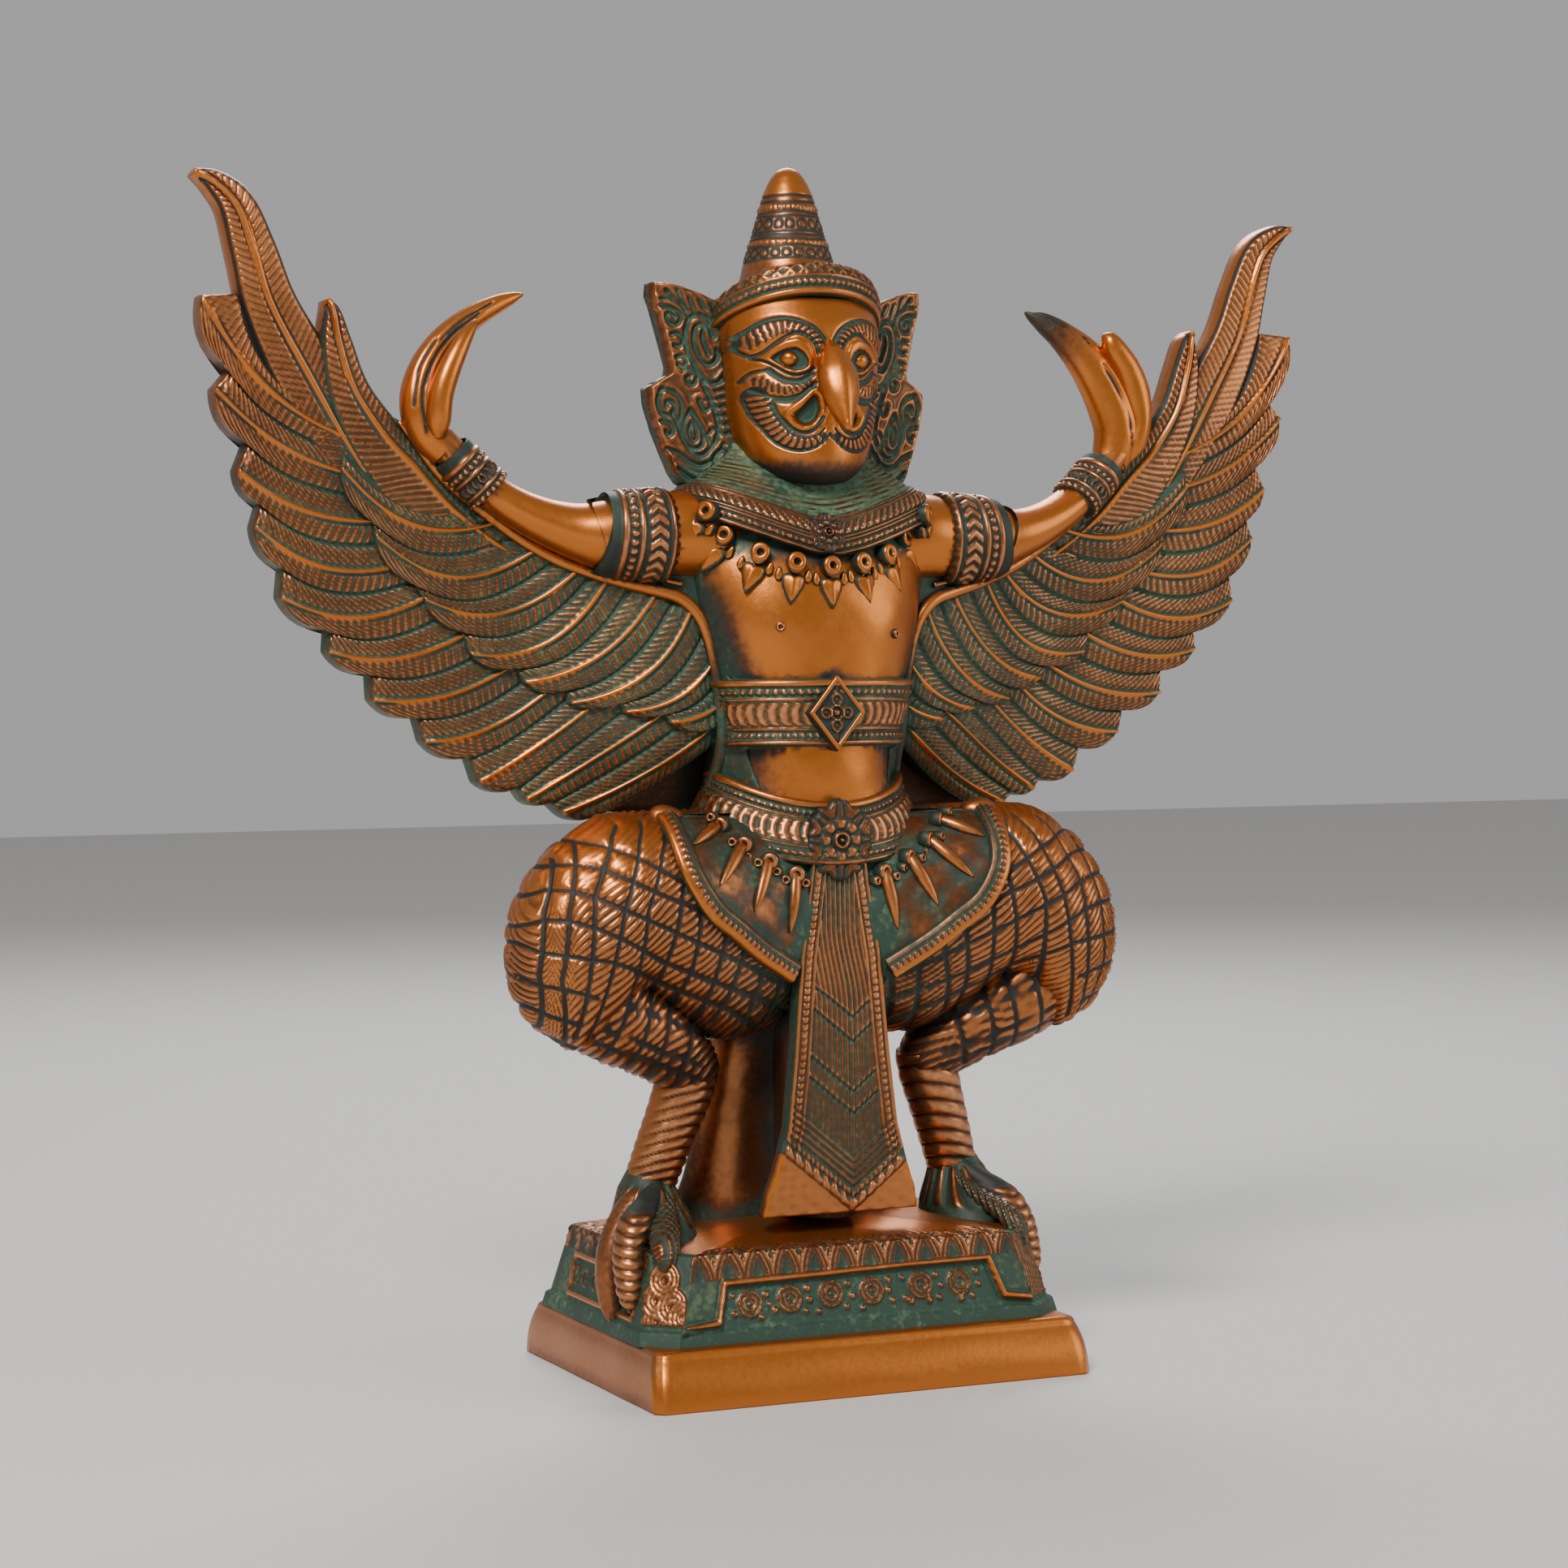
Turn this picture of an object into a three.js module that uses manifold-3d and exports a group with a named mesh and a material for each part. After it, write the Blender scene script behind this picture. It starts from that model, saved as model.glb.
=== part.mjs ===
import * as THREE from 'three';
import Module from 'manifold-3d';

const wasm = await Module();
wasm.setup();

// Plinth, lower block (millimetres, front faces -Y, up is +Z)
const baseWidth = 175.4; // across its foot
const baseDepth = 143.4; // front to back at its foot
const baseHeight = 21;
const baseSideLean = 3.4; // each side face leans in by this much at the top
const baseFaceLean = 8.4; // front and back faces lean in by this much
const baseRound = 2.4; // rounding of the top edge
const baseCorner = 3; // cut of its corners

// Plinth, upper block
const tierWidth = 168; // across its foot
const tierDepth = 116;
const tierHeight = 31; // up to the edge of its top
const tierSideLean = 7.5;
const tierFaceLean = 8;
const tierCrown = 6.4; // rise of the top from its edge to the middle
const tierCorner = 12; // cut of its front corners, under the toes
const bandHeight = 5; // plain band round its foot
const bandProud = 1.6;
const petalWidth = 12.2; // leaves along the top edge
const petalHeight = 11;
const petalProud = 2.6;
const petalRise = 1; // of a leaf's tip over the edge
const cornerLeaf = 12; // height and width of the single leaf beside each panel
const frameWidth = 2.4; // moulding round the sunk panels
const frameProud = 2.2;
const frameFlare = 6; // the panel is this much longer at each end of its foot
const panelShare = 0.66; // its length, as a share of the block's
const rosettePitch = 17.4;
const rosetteRadius = 4.8;
const rosetteProud = 2;
const rosetteCount = 6;

// Figure: its own height from the top of the plinth to the tip of the crown
const figureHeight = 398.6;
const wingThickness = 13; // of a feather from its edge to the back
const toeThickness = 9; // of a toe where it hangs over the plinth
const drapeThickness = 9; // of the hanging front panel of the skirt
const earThickness = 8; // of the flange behind each ear
const rootDepth = 3; // how far an ornament is let into what carries it

// Every place on the figure is a share of its height: the lists below are in
// units of which the whole height is 398.6, counted up from the plinth's foot
const unitsHigh = 398.6;
const unitsBelow = 58.4;
const unit = figureHeight / unitsHigh;
const standZ = baseHeight + tierHeight + tierCrown;
const figureBack = -2; // the figure's own axis stands this far in front of the plinth's

const tierTopZ = baseHeight + tierHeight;
const tierTopWidth = tierWidth - 2 * tierSideLean;
const tierTopDepth = tierDepth - 2 * tierFaceLean;

const place = ([x, y, z]) => [x * unit, (y + figureBack) * unit, standZ + (z - unitsBelow) * unit];

let whole = null;

// A closed body from its points and triangles, turned to face outwards
function body({ points, faces }) {
  let volume = 0;
  for (const [a, b, c] of faces) {
    const [p, q, r] = [points[a], points[b], points[c]];
    volume += p[0] * (q[1] * r[2] - q[2] * r[1]);
    volume += p[1] * (q[2] * r[0] - q[0] * r[2]);
    volume += p[2] * (q[0] * r[1] - q[1] * r[0]);
  }
  const turned = volume < 0 ? faces.map(([a, b, c]) => [a, c, b]) : faces;
  return new wasm.Manifold(new wasm.Mesh({
    numProp: 3,
    vertProperties: Float32Array.from(points.flat()),
    triVerts: Uint32Array.from(turned.flat()),
  }));
}

function join(shape) {
  const piece = body(shape);
  whole = whole ? whole.add(piece) : piece;
}

function cut(shape) {
  whole = whole.subtract(body(shape));
}

const mirrored = ({ points, faces }) => ({ points: points.map(([x, y, z]) => [-x, y, z]), faces });

function joinBoth(shape) {
  join(shape);
  join(mirrored(shape));
}

const average = (ring) => [0, 1, 2].map((k) => ring.reduce((sum, p) => sum + p[k], 0) / ring.length);

// Skin between rings of as many points each, closed by a fan at each end
function loft(rings, first = average(rings[0]), last = average(rings[rings.length - 1])) {
  const count = rings[0].length;
  const points = rings.flat();
  const faces = [];
  for (let row = 0; row + 1 < rings.length; row += 1) {
    for (let k = 0; k < count; k += 1) {
      const next = (k + 1) % count;
      const [a, b] = [row * count + k, row * count + next];
      faces.push([a, b, b + count], [a, b + count, a + count]);
    }
  }
  const end = (rings.length - 1) * count;
  points.push(first, last);
  for (let k = 0; k < count; k += 1) {
    const next = (k + 1) % count;
    faces.push([next, k, points.length - 2], [end + k, end + next, points.length - 1]);
  }
  return { points, faces };
}

// Ring of an ellipse round a centre, spanned by two directions
function ellipse(centre, across, along, sides, square = 1) {
  return Array.from({ length: sides }, (_, k) => {
    const angle = ((k + 0.5) / sides) * 2 * Math.PI;
    const bend = (value) => Math.sign(value) * Math.abs(value) ** square;
    const [u, v] = [bend(Math.cos(angle)), bend(Math.sin(angle))];
    return centre.map((value, axis) => value + across[axis] * u + along[axis] * v);
  });
}

// Upright body: rows of [z, middle y, half width, half depth]
function upright(rows, sides, square = 1) {
  const rings = rows.map(([z, y, halfX, halfY]) =>
    ellipse([0, y, z], [halfX, 0, 0], [0, halfY, 0], sides, square).map(place));
  return loft(rings);
}

// Round limb along a smooth line: rows of [x, y, z, half thickness, half depth]
function limb(rows, steps, sides, tip = false) {
  const line = new THREE.CatmullRomCurve3(rows.map(([x, y, z]) => new THREE.Vector3(x, y, z)));
  const rings = [];
  for (let step = 0; step <= steps; step += 1) {
    const t = step / steps;
    const at = line.getPoint(t);
    const ahead = line.getTangent(t);
    const depth = new THREE.Vector3(0, 1, 0).addScaledVector(ahead, -ahead.y).normalize();
    const side = new THREE.Vector3().crossVectors(ahead, depth);
    const spot = t * (rows.length - 1);
    const row = Math.min(Math.floor(spot), rows.length - 2);
    const blend = spot - row;
    const mix = (k) => rows[row][k] * (1 - blend) + rows[row + 1][k] * blend;
    const [half, deep] = [mix(3), mix(4) || mix(3)];
    const ring = ellipse(at.toArray(), side.multiplyScalar(half).toArray(),
      depth.multiplyScalar(deep).toArray(), sides);
    rings.push(ring.map(place));
  }
  return tip ? loft(rings.slice(0, -1), undefined, average(rings[rings.length - 1])) : loft(rings);
}

// Ball or egg with few faces
function egg(centre, halves, sides, bands) {
  const rings = [];
  for (let band = 1; band < bands; band += 1) {
    const lean = (band / bands) * Math.PI;
    const [height, girth] = [Math.cos(lean) * halves[2], Math.sin(lean)];
    rings.push(ellipse([centre[0], centre[1], centre[2] + height],
      [halves[0] * girth, 0, 0], [0, halves[1] * girth, 0], sides));
  }
  const pole = (sign) => place([centre[0], centre[1], centre[2] + sign * halves[2]]);
  return loft(rings.map((ring) => ring.map(place)), pole(1), pole(-1));
}

// Plate between two outlines of as many [x, z] points, one in front and one behind
function plate(ahead, front, behind, back) {
  const outline = ahead.map(([x, z]) => new THREE.Vector2(x, z));
  const count = ahead.length;
  const flat = THREE.ShapeUtils.triangulateShape(outline, []);
  const order = THREE.ShapeUtils.isClockWise(outline) ? [2, 1, 0] : [0, 1, 2];
  const points = [...ahead.map(([x, z]) => place([x, front, z])),
    ...behind.map(([x, z]) => place([x, back, z]))];
  const cap = flat.map((face) => order.map((corner) => face[corner]));
  const faces = [...cap, ...cap.map(([a, b, c]) => [a + count, c + count, b + count])];
  for (let k = 0; k < count; k += 1) {
    const next = (k + 1) % count;
    faces.push([next, k, k + count], [next, k + count, next + count]);
  }
  return { points, faces };
}

// Rectangular ring with cut corners, for the plinth
function block(halfX, halfY, z, rear, front = rear) {
  const quarter = (corner) => [[halfX, halfY - corner], [halfX - corner, halfY]];
  const around = (corner) => [...quarter(corner), ...quarter(corner).map(([x, y]) => [-x, y]).reverse()];
  return [...around(rear), ...around(front).map(([x, y]) => [-x, -y])].map(([x, y]) => [x, y, z]);
}

// Plinth, lower block: smooth, with bellied faces and a rounded top edge
function lowerBlock() {
  const rows = [0, 0.38, 0.68, 1 - baseRound / baseHeight, 1];
  const rings = rows.map((share) => {
    const lean = share ** 2.2;
    const edge = share === 1 ? baseRound : 0;
    return block(baseWidth / 2 - baseSideLean * lean - edge,
      baseDepth / 2 - baseFaceLean * lean - edge, baseHeight * share, baseCorner + edge);
  });
  return loft(rings);
}

const tierHalfX = (z) => tierWidth / 2 - tierSideLean * ((z - baseHeight) / tierHeight);
const tierHalfY = (z) => tierDepth / 2 - tierFaceLean * ((z - baseHeight) / tierHeight);

// Plinth, upper block: leaning faces under a top that swells to its middle
function upperBlock() {
  const sunk = baseHeight - baseRound;
  const rings = [sunk, tierTopZ - 2].map((z) => block(tierHalfX(z), tierHalfY(z), z, baseCorner, tierCorner));
  const swell = [[0.975, 0.12], [0.86, 0.62], [0.62, 0.92]];
  for (const [share, rise] of swell) {
    rings.push(block((tierTopWidth / 2) * share, (tierTopDepth / 2) * share,
      tierTopZ + tierCrown * rise, baseCorner, tierCorner * share));
  }
  return loft(rings, undefined, [0, 0, tierTopZ + tierCrown]);
}

// A face of the upper block: turns [along, up, proud] into a place on that face
const faces = [
  { half: tierWidth / 2, at: (along, z, proud) => [along, -(tierHalfY(z) + proud), z] },
  { half: tierWidth / 2, at: (along, z, proud) => [-along, tierHalfY(z) + proud, z] },
  { half: tierDepth / 2, at: (along, z, proud) => [tierHalfX(z) + proud, along, z] },
  { half: tierDepth / 2, at: (along, z, proud) => [-(tierHalfX(z) + proud), -along, z] },
];

// Raised bar with a ridged front between two places of a face
function bar(face, from, to, width, proud) {
  const length = Math.hypot(to[0] - from[0], to[1] - from[1]);
  const side = [(-(to[1] - from[1]) / length) * (width / 2), ((to[0] - from[0]) / length) * (width / 2)];
  const ring = ([along, z]) => [
    face.at(along + side[0], z + side[1], -rootDepth),
    face.at(along + side[0] * 0.5, z + side[1] * 0.5, proud),
    face.at(along - side[0] * 0.5, z - side[1] * 0.5, proud),
    face.at(along - side[0], z - side[1], -rootDepth),
  ];
  return loft([ring(from), ring(to)]);
}

// Pointed leaf with a ridge, standing on its foot
function leaf(face, middle, foot, width, height, proud) {
  const row = [-1, 0, 1].map((side) =>
    face.at(middle + (width / 2) * side * 1.15, foot, side ? -rootDepth : proud * 1.4));
  const tip = face.at(middle, foot + height, -rootDepth * 0.4);
  return loft([row], undefined, tip);
}

// Round boss on a face, dished round its middle
function boss(face, along, z, radius, proud) {
  const ring = (size, lift) => Array.from({ length: 6 }, (_, k) => {
    const angle = (k / 6) * 2 * Math.PI;
    return face.at(along + Math.cos(angle) * size, z + Math.sin(angle) * size, lift);
  });
  return loft([ring(radius, -rootDepth), ring(radius * 0.9, proud)], undefined,
    face.at(along, z, proud * 0.4));
}

// Plain band across the foot of the upper block's front and back
function footBand() {
  const [halfX, halfY] = [tierHalfX(baseHeight) - bandProud, tierHalfY(baseHeight)];
  const ring = (z, proud) => block(halfX, halfY + proud, z, baseCorner);
  return loft([ring(baseHeight - baseRound, 0), ring(baseHeight, bandProud),
    ring(baseHeight + bandHeight * 0.7, bandProud * 0.6), ring(baseHeight + bandHeight, -bandProud)]);
}

const petalFoot = tierTopZ + petalRise - petalHeight;

// A row of leaves along the top edge of a face, from one place to another
function leafRow(face, from, to) {
  const count = Math.max(1, Math.round((to - from) / petalWidth));
  const pitch = (to - from) / count;
  for (let k = 0; k < count; k += 1) {
    join(leaf(face, from + (k + 0.5) * pitch, petalFoot, pitch, petalHeight, petalProud));
  }
}

// Moulding of the sunk panel of a face, between two places along it
function panelFrame(face, from, to, ends) {
  const high = petalFoot - frameWidth * 0.65;
  const low = baseHeight + bandHeight;
  join(bar(face, [from, high], [to, high], frameWidth, frameProud));
  for (const sign of ends) {
    const [inner, outer] = sign < 0 ? [from, from - frameFlare] : [to, to + frameFlare];
    join(bar(face, [inner, high - frameWidth * 0.6], [outer, low], frameWidth, frameProud));
    join(leaf(face, outer + sign * cornerLeaf * 0.75, low, cornerLeaf, cornerLeaf, petalProud));
  }
}

function plinthCarving() {
  join(footBand());
  const [front, back, right, left] = faces;
  const reach = tierTopWidth / 2 - tierCorner * 0.6;
  for (const face of [front, back]) {
    leafRow(face, -reach, reach);
    panelFrame(face, -tierWidth * panelShare / 2, tierWidth * panelShare / 2, [-1, 1]);
  }
  // the toes cover the front of the side faces
  const near = tierTopDepth * 0.05;
  const far = tierTopDepth * 0.5 - petalRise;
  const end = tierDepth * panelShare * 0.4;
  leafRow(right, near, far);
  leafRow(left, -far, -near);
  panelFrame(right, near, end, [1]);
  panelFrame(left, -end, -near, [-1]);
  const first = -((rosetteCount - 1) / 2) * rosettePitch;
  const middleZ = baseHeight + (tierHeight - petalHeight + bandHeight) / 2;
  for (let k = 0; k < rosetteCount; k += 1) {
    join(boss(front, first + k * rosettePitch, middleZ, rosetteRadius, rosetteProud));
  }
}

// Thigh, which lies level: rows of [x, middle y, middle z, half depth, half height]
const thighRows = [[2, -6, 176, 27, 34], [18, -7, 172, 31, 41], [38, -9, 170, 33.5, 43],
  [57, -13, 176, 33, 37], [75, -16, 181, 31, 31.5], [92, -18, 183, 28, 27],
  [106, -19, 181, 22, 22], [116, -19, 178, 13, 13]];
const thighEnd = [121, -19, 177];

// Front of the thigh at a place on the figure's front view
function thighFront(x, z) {
  let row = 0;
  while (row < thighRows.length - 2 && thighRows[row + 1][0] < x) row += 1;
  const [near, far] = [thighRows[row], thighRows[row + 1]];
  const blend = (x - near[0]) / (far[0] - near[0]);
  const [, y, middle, deep, high] = near.map((value, k) => value + (far[k] - value) * blend);
  return y - deep * Math.sqrt(Math.max(0.05, 1 - ((z - middle) / high) ** 2));
}

function leg() {
  const rings = thighRows.map(([x, y, z, deep, high]) =>
    ellipse([x, y, z], [0, deep, 0], [0, 0, high], 10).map(place));
  joinBoth(loft(rings, undefined, place(thighEnd)));
  joinBoth(egg([96.5, -18, 168], [26.6, 25, 34.5], 10, 6));
  joinBoth(limb([[107, -17, 161, 15.5], [96, -16, 149.5, 18.5], [83, -15, 139.5, 19],
    [68, -13, 131, 16.5], [55, -10, 123, 13.5], [48, -7, 114, 10.5]], 5, 8));
  // the shin, scored with rings
  const shinRings = 6;
  const shin = [];
  for (let k = 0; k <= 2 * shinRings; k += 1) {
    const t = k / (2 * shinRings);
    shin.push([49 + 13.5 * t, -8 + 7 * t, 116 - 43 * t, 11.2 - 2.4 * t + (k % 2 ? 0.9 : -0.4)]);
  }
  joinBoth(limb(shin, 2 * shinRings, 6));
}

// Foot: three toes that run down from the shin and hang over the plinth's edge
function foot() {
  const ankle = place([64, -1, 71]);
  const spread = [[9, 9, 4], [11, 14, -6], [14, 20, -14]];
  joinBoth(loft(spread.map(([halfX, halfY, rise]) => {
    const centre = [ankle[0], ankle[1] - 4 * unit, ankle[2] + rise * unit];
    return ellipse(centre, [halfX * unit, 0, 0], [0, halfY * unit, 0], 7);
  })));
  const edge = tierTopWidth / 2;
  // each toe: where it leaves the shin, crosses the edge and ends from front to back, how high
  // it leaves, its half width, the share of the side it hangs down, how far the corner and
  // the foot draw it in
  const toes = [[0, -9, -15, 14, 6, 0.94, 0, 0], [-6, -29, -34, 4, 5.6, 0.6, 2, 5],
    [-9, -42, -47, 0, 5.2, 0.2, 9, 9]];
  for (const [start, cross, end, rise, half, drop, inset, tuck] of toes) {
    const low = tierTopZ - tierHeight * drop;
    const mid = (tierTopZ + low) / 2;
    const out = toeThickness * 0.14;
    const path = new THREE.CatmullRomCurve3([
      [ankle[0] - 5, start * 0.4, ankle[2] + rise * unit],
      [(edge + ankle[0]) / 2 - tuck, (start + cross) * 0.45, tierTopZ + 15 + rise * 0.2],
      [edge + out - inset, cross, tierTopZ + out * 2],
      [tierHalfX(mid) + out - inset, (cross + end) / 2, mid],
      [tierHalfX(low) + out - inset, end, low],
    ].map((p) => new THREE.Vector3(...p)));
    const toeRings = [0.85, 1.05, 1.1, 1.05, 0.35].map((share, k) => {
      const ahead = path.getTangent(k / 4);
      const across = new THREE.Vector3(0, 1, 0).addScaledVector(ahead, -ahead.y).normalize();
      const outward = new THREE.Vector3().crossVectors(ahead, across).normalize();
      return ellipse(path.getPoint(k / 4).toArray(), across.multiplyScalar(half * share).toArray(),
        outward.multiplyScalar((toeThickness / 2) * share).toArray(), 5);
    });
    joinBoth(loft(toeRings));
  }
}

// Tail: the broad smooth stem behind the panel that carries the figure
function tail() {
  const rows = [[40, 20, 54, 23], [61, 16, 49, 19], [74, 14, 44, 17], [90, 13, 40, 16],
    [116, 12, 34, 16], [140, 8, 31, 20], [170, 2, 30, 24]];
  const lowest = (tierTopZ - standZ) / unit + unitsBelow - 2;
  rows[0][0] = lowest;
  join(upright(rows, 12));
}

// Hanging front panel with a flared hem, and its stem to the tail
function drape() {
  const front = -37.5;
  const rows = [[192, 11.5], [158, 16.5], [122, 19.5], [95, 22.5], [80, 26.5], [70, 30], [63, 31]];
  const rings = rows.map(([z, half], row) => {
    const y = front + Math.max(0, row - 4) * 0.8;
    const back = y + drapeThickness / unit;
    const edge = (side) => [[side * half, y + 2.5, z], [side * (half - 2.5), y, z],
      [side * (half - 5), y + 1.2, z]];
    return [...edge(-1), [0, y - 1.5, z], ...edge(1).reverse(), [half - 1, back, z], [1 - half, back, z]]
      .map(place);
  });
  join(loft(rings));
  join(upright([[64, -10, 14, 24], [90, -10, 13, 24], [150, -10, 14, 24]], 8));
}

// Hips, waist and chest: rows of [z, middle y, half width, half depth]
const torsoRows = [[160, -4, 30, 25], [182, -4, 42, 31], [200, -4, 44, 31], [214, -5, 39, 28.5],
  [226, -6.5, 33, 28], [240, -6, 33.5, 29], [256, -6, 38, 31.5], [274, -5, 43.5, 33],
  [292, -4, 47.5, 34], [306, -3, 50, 31], [318, -3, 47, 25], [328, -1, 33, 20], [336, 2, 21, 19],
  [350, 3, 19, 19]];

// Front of the chest at a place on the figure's front view
function torsoFront(x, z) {
  const row = Math.max(1, torsoRows.findIndex((entry) => entry[0] > z));
  const [low, high] = [torsoRows[row - 1], torsoRows[row]];
  const blend = (z - low[0]) / (high[0] - low[0]);
  const [, y, wide, deep] = low.map((value, k) => value + (high[k] - value) * blend);
  return y - deep * Math.sqrt(Math.max(0.05, 1 - (x / wide) ** 2));
}

// Four-petalled flower in a lozenge, facing forwards
function lozenge(centre, half, high, proud) {
  const [x, y, z] = centre;
  const ring = (size, out) => [[x + half * size, y - out, z], [x, y - out, z + high * size],
    [x - half * size, y - out, z], [x, y - out, z - high * size]].map(place);
  join(loft([ring(1, -6), ring(1, proud * 0.5), ring(0.8, proud), ring(0.66, proud * 0.5)]));
  for (let k = 0; k < 4; k += 1) {
    const angle = (k / 4 + 0.125) * 2 * Math.PI;
    const middle = [x + Math.cos(angle) * half * 0.26, z + Math.sin(angle) * high * 0.26];
    const foot = [0, 1, 2, 3].map((corner) => {
      const turn = (corner / 4) * 2 * Math.PI + angle;
      return place([middle[0] + Math.cos(turn) * half * 0.22, y, middle[1] + Math.sin(turn) * high * 0.22]);
    });
    join(loft([foot], place([middle[0], y + 1, middle[1]]), place([middle[0], y - proud, middle[1]])));
  }
}

// Belt that dips to the front: rows of [z, half width, half depth]
function belt(middleY, dip, rows) {
  const rings = rows.map(([z, halfX, halfY]) => {
    const ring = ellipse([0, middleY, z], [halfX, 0, 0], [0, halfY, 0], 14);
    return ring.map(([x, y, high]) => place([x, y, high - dip * Math.max(0, (middleY - y) / halfY) ** 1.5]));
  });
  join(loft(rings));
}

function belts() {
  belt(-8, 0, [[237, 30, 24], [237, 37, 31], [242, 36.5, 30.5], [256, 40, 33.5],
    [261, 41.5, 34.5], [261, 34, 28]]);
  lozenge([0, -38.5, 249], 10.5, 13, 4);
  belt(-5, 12, [[205, 36, 26], [205, 47, 34.5], [209, 46, 34.5], [212, 43.5, 32.5], [222, 38.5, 29.5],
    [224, 39.5, 31], [227, 37.5, 30], [227, 30, 24]]);
  lozenge([0, -38.5, 202], 13, 16, 5);
}

// Skirt: an apron that lies on hip and thigh, with a rounded border and hanging points
const apronEdge = [[65, 210], [65, 202], [61.5, 191.5], [54, 179], [44, 171], [33, 164], [19.5, 153.5]];

function skirt() {
  const lift = 2;
  joinBoth(limb(apronEdge.map(([x, z]) => [x, thighFront(x, z), z, 3.4]), 6, 4));
  const outline = [...apronEdge, [0, 150], [0, 210], [36, 218]];
  const front = outline.map(([x, z]) => place([x, thighFront(x, z) - lift, z]));
  const back = outline.map(([x, z]) => place([x, -6, z]));
  const inner = outline.map(([x, z]) => [30 + (x - 30) * 0.55, 188 + (z - 188) * 0.55]);
  const crest = inner.map(([x, z]) => place([x, thighFront(x, z) - lift, z]));
  joinBoth(loft([back, front, crest], undefined, place([30, thighFront(30, 188) - lift, 188])));
  const points = [[44, 208, 62, 202], [38, 201, 53.5, 187], [29, 195, 38, 178], [18.5, 190, 22.5, 168]];
  for (const [x0, z0, x1, z1] of points) {
    const at = (t, half) => {
      const [x, z] = [x0 + (x1 - x0) * t, z0 + (z1 - z0) * t];
      const size = Math.hypot(x1 - x0, z1 - z0);
      const side = [(-(z1 - z0) / size) * half, ((x1 - x0) / size) * half];
      const y = thighFront(x, z) - lift;
      return [[x + side[0], y + rootDepth, z + side[1]], [x, y - 2.6, z],
        [x - side[0], y + rootDepth, z - side[1]]].map(place);
    };
    joinBoth(loft([at(0, 5.4), at(0.45, 4.2)], undefined,
      place([x1, thighFront(x1, z1) - lift - 0.5, z1])));
  }
}

// Necklace: a raised collar that dips to the front, and a row of pointed pendants
function necklace() {
  const collar = [[338, 2, 24, 21], [334, 0, 27, 25], [326, -2, 38, 29], [319, -3, 47, 31.5],
    [316, -3, 49, 31.5], [316, -3, 40, 24]];
  const dipTo = (y, middle, half) => 15 * Math.max(0, (middle - y) / half) ** 1.6;
  const rings = collar.map(([z, y, halfX, halfY], row) => {
    const ring = ellipse([0, y, z], [halfX, 0, 0], [0, halfY, 0], 16);
    return ring.map((p) => place([p[0], p[1], p[2] - dipTo(p[1], y, halfY) * Math.min(1, row / 3)]));
  });
  join(loft(rings));
  // each pendant: where it hangs and where its tip lies, from the middle outwards
  const pendants = [[0, 300, 0, 285], [14, 301, 16, 287], [27, 304, 31.5, 291], [38, 309, 43, 297]];
  for (const [x0, z0, x1, z1] of pendants) {
    const low = z1 + (z0 - z1) * 0.35;
    const on = (x, z, out) => place([x, torsoFront(x, z) + out, z]);
    const row = (x, z, half) => [on(x + half, z, rootDepth), on(x, z, -3.5), on(x - half, z, rootDepth)];
    const pendant = loft([row(x0, z0, 4), row(x1 * 0.7 + x0 * 0.3, low, 5.6)], undefined, on(x1, z1, -1));
    if (x0 === 0) join(pendant);
    else joinBoth(pendant);
  }
}

// Arm: shoulder, banded upper arm, forearm, ringed wrist, and the lifted hand
function arm() {
  const rows = [[34, -4, 314, 19, 18], [48, -6, 316, 18, 17], [59, -6, 315.3, 16.4, 16],
    [60, -6, 315.3, 18.6], [70, -6, 315.7, 17.6], [80, -5, 317, 17], [81, -5, 317.4, 14],
    [92, -3, 321, 11.5, 11], [106, -1, 329, 9.5, 9], [120, 2, 337.8, 9.5, 9],
    [121, 2, 338.4, 12], [132, 3.8, 346.8, 12], [133, 4, 347.8, 9.6, 8.5], [142, 5, 356, 8, 8],
    [142.4, 6, 366, 7.2, 7.5], [137.6, 7, 378, 6.9, 6.5], [129, 8, 389.5, 5.6, 5.5],
    [118, 8.5, 398.5, 3.8, 4], [106, 9, 405.5, 1.6, 2]];
  joinBoth(limb(rows, rows.length - 1, 8, true));
  joinBoth(limb([[139, -2, 352, 5, 5], [140.5, -6, 366, 5, 5], [138, -6.5, 380, 4, 4.5],
    [130, -3, 394, 1.5, 2]], 3, 5, true));
}

// Head: broad mask face, hooked beak, ringed eyes, feathered brows
function head() {
  join(upright([[333.5, -14, 11, 13], [337, -10.5, 19.5, 21], [345, -6.5, 26.5, 27], [358, -3.5, 31, 30.5],
    [374, -3, 32, 31.5], [392, -2, 33, 31.5], [404, 2, 32, 30]], 14));
  const beak = [[-30, 390, 3.5, 3], [-37, 383.5, 7.6, 4.2], [-42.5, 373, 8.6, 6], [-43.5, 362, 6.6, 6],
    [-46, 355, 3, 3.4]];
  const rings = beak.map(([y, z, half, deep]) =>
    ellipse([0, y, z], [half, 0, 0], [0, deep, 0], 8).map(place));
  join(loft(rings, undefined, place([0, -50, 352])));
  joinBoth(egg([14, -30, 382], [9.5, 6.2, 6.6], 8, 4));
  joinBoth(egg([14, -34, 382], [3.6, 4, 3.6], 5, 3));
  joinBoth(limb([[4, -34.5, 387, 1.6, 2], [12, -33, 396, 2.8, 2.6], [22, -26.5, 394, 2.8, 2.6],
    [29.5, -15, 385, 1.6, 2]], 4, 4));
  joinBoth(limb([[25.5, -21.5, 368, 1.6, 2], [24, -24, 357, 2.4, 2.6], [15, -29.5, 347, 2.6, 2.6],
    [3, -33.5, 349, 1.4, 2]], 4, 4));
}

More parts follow.
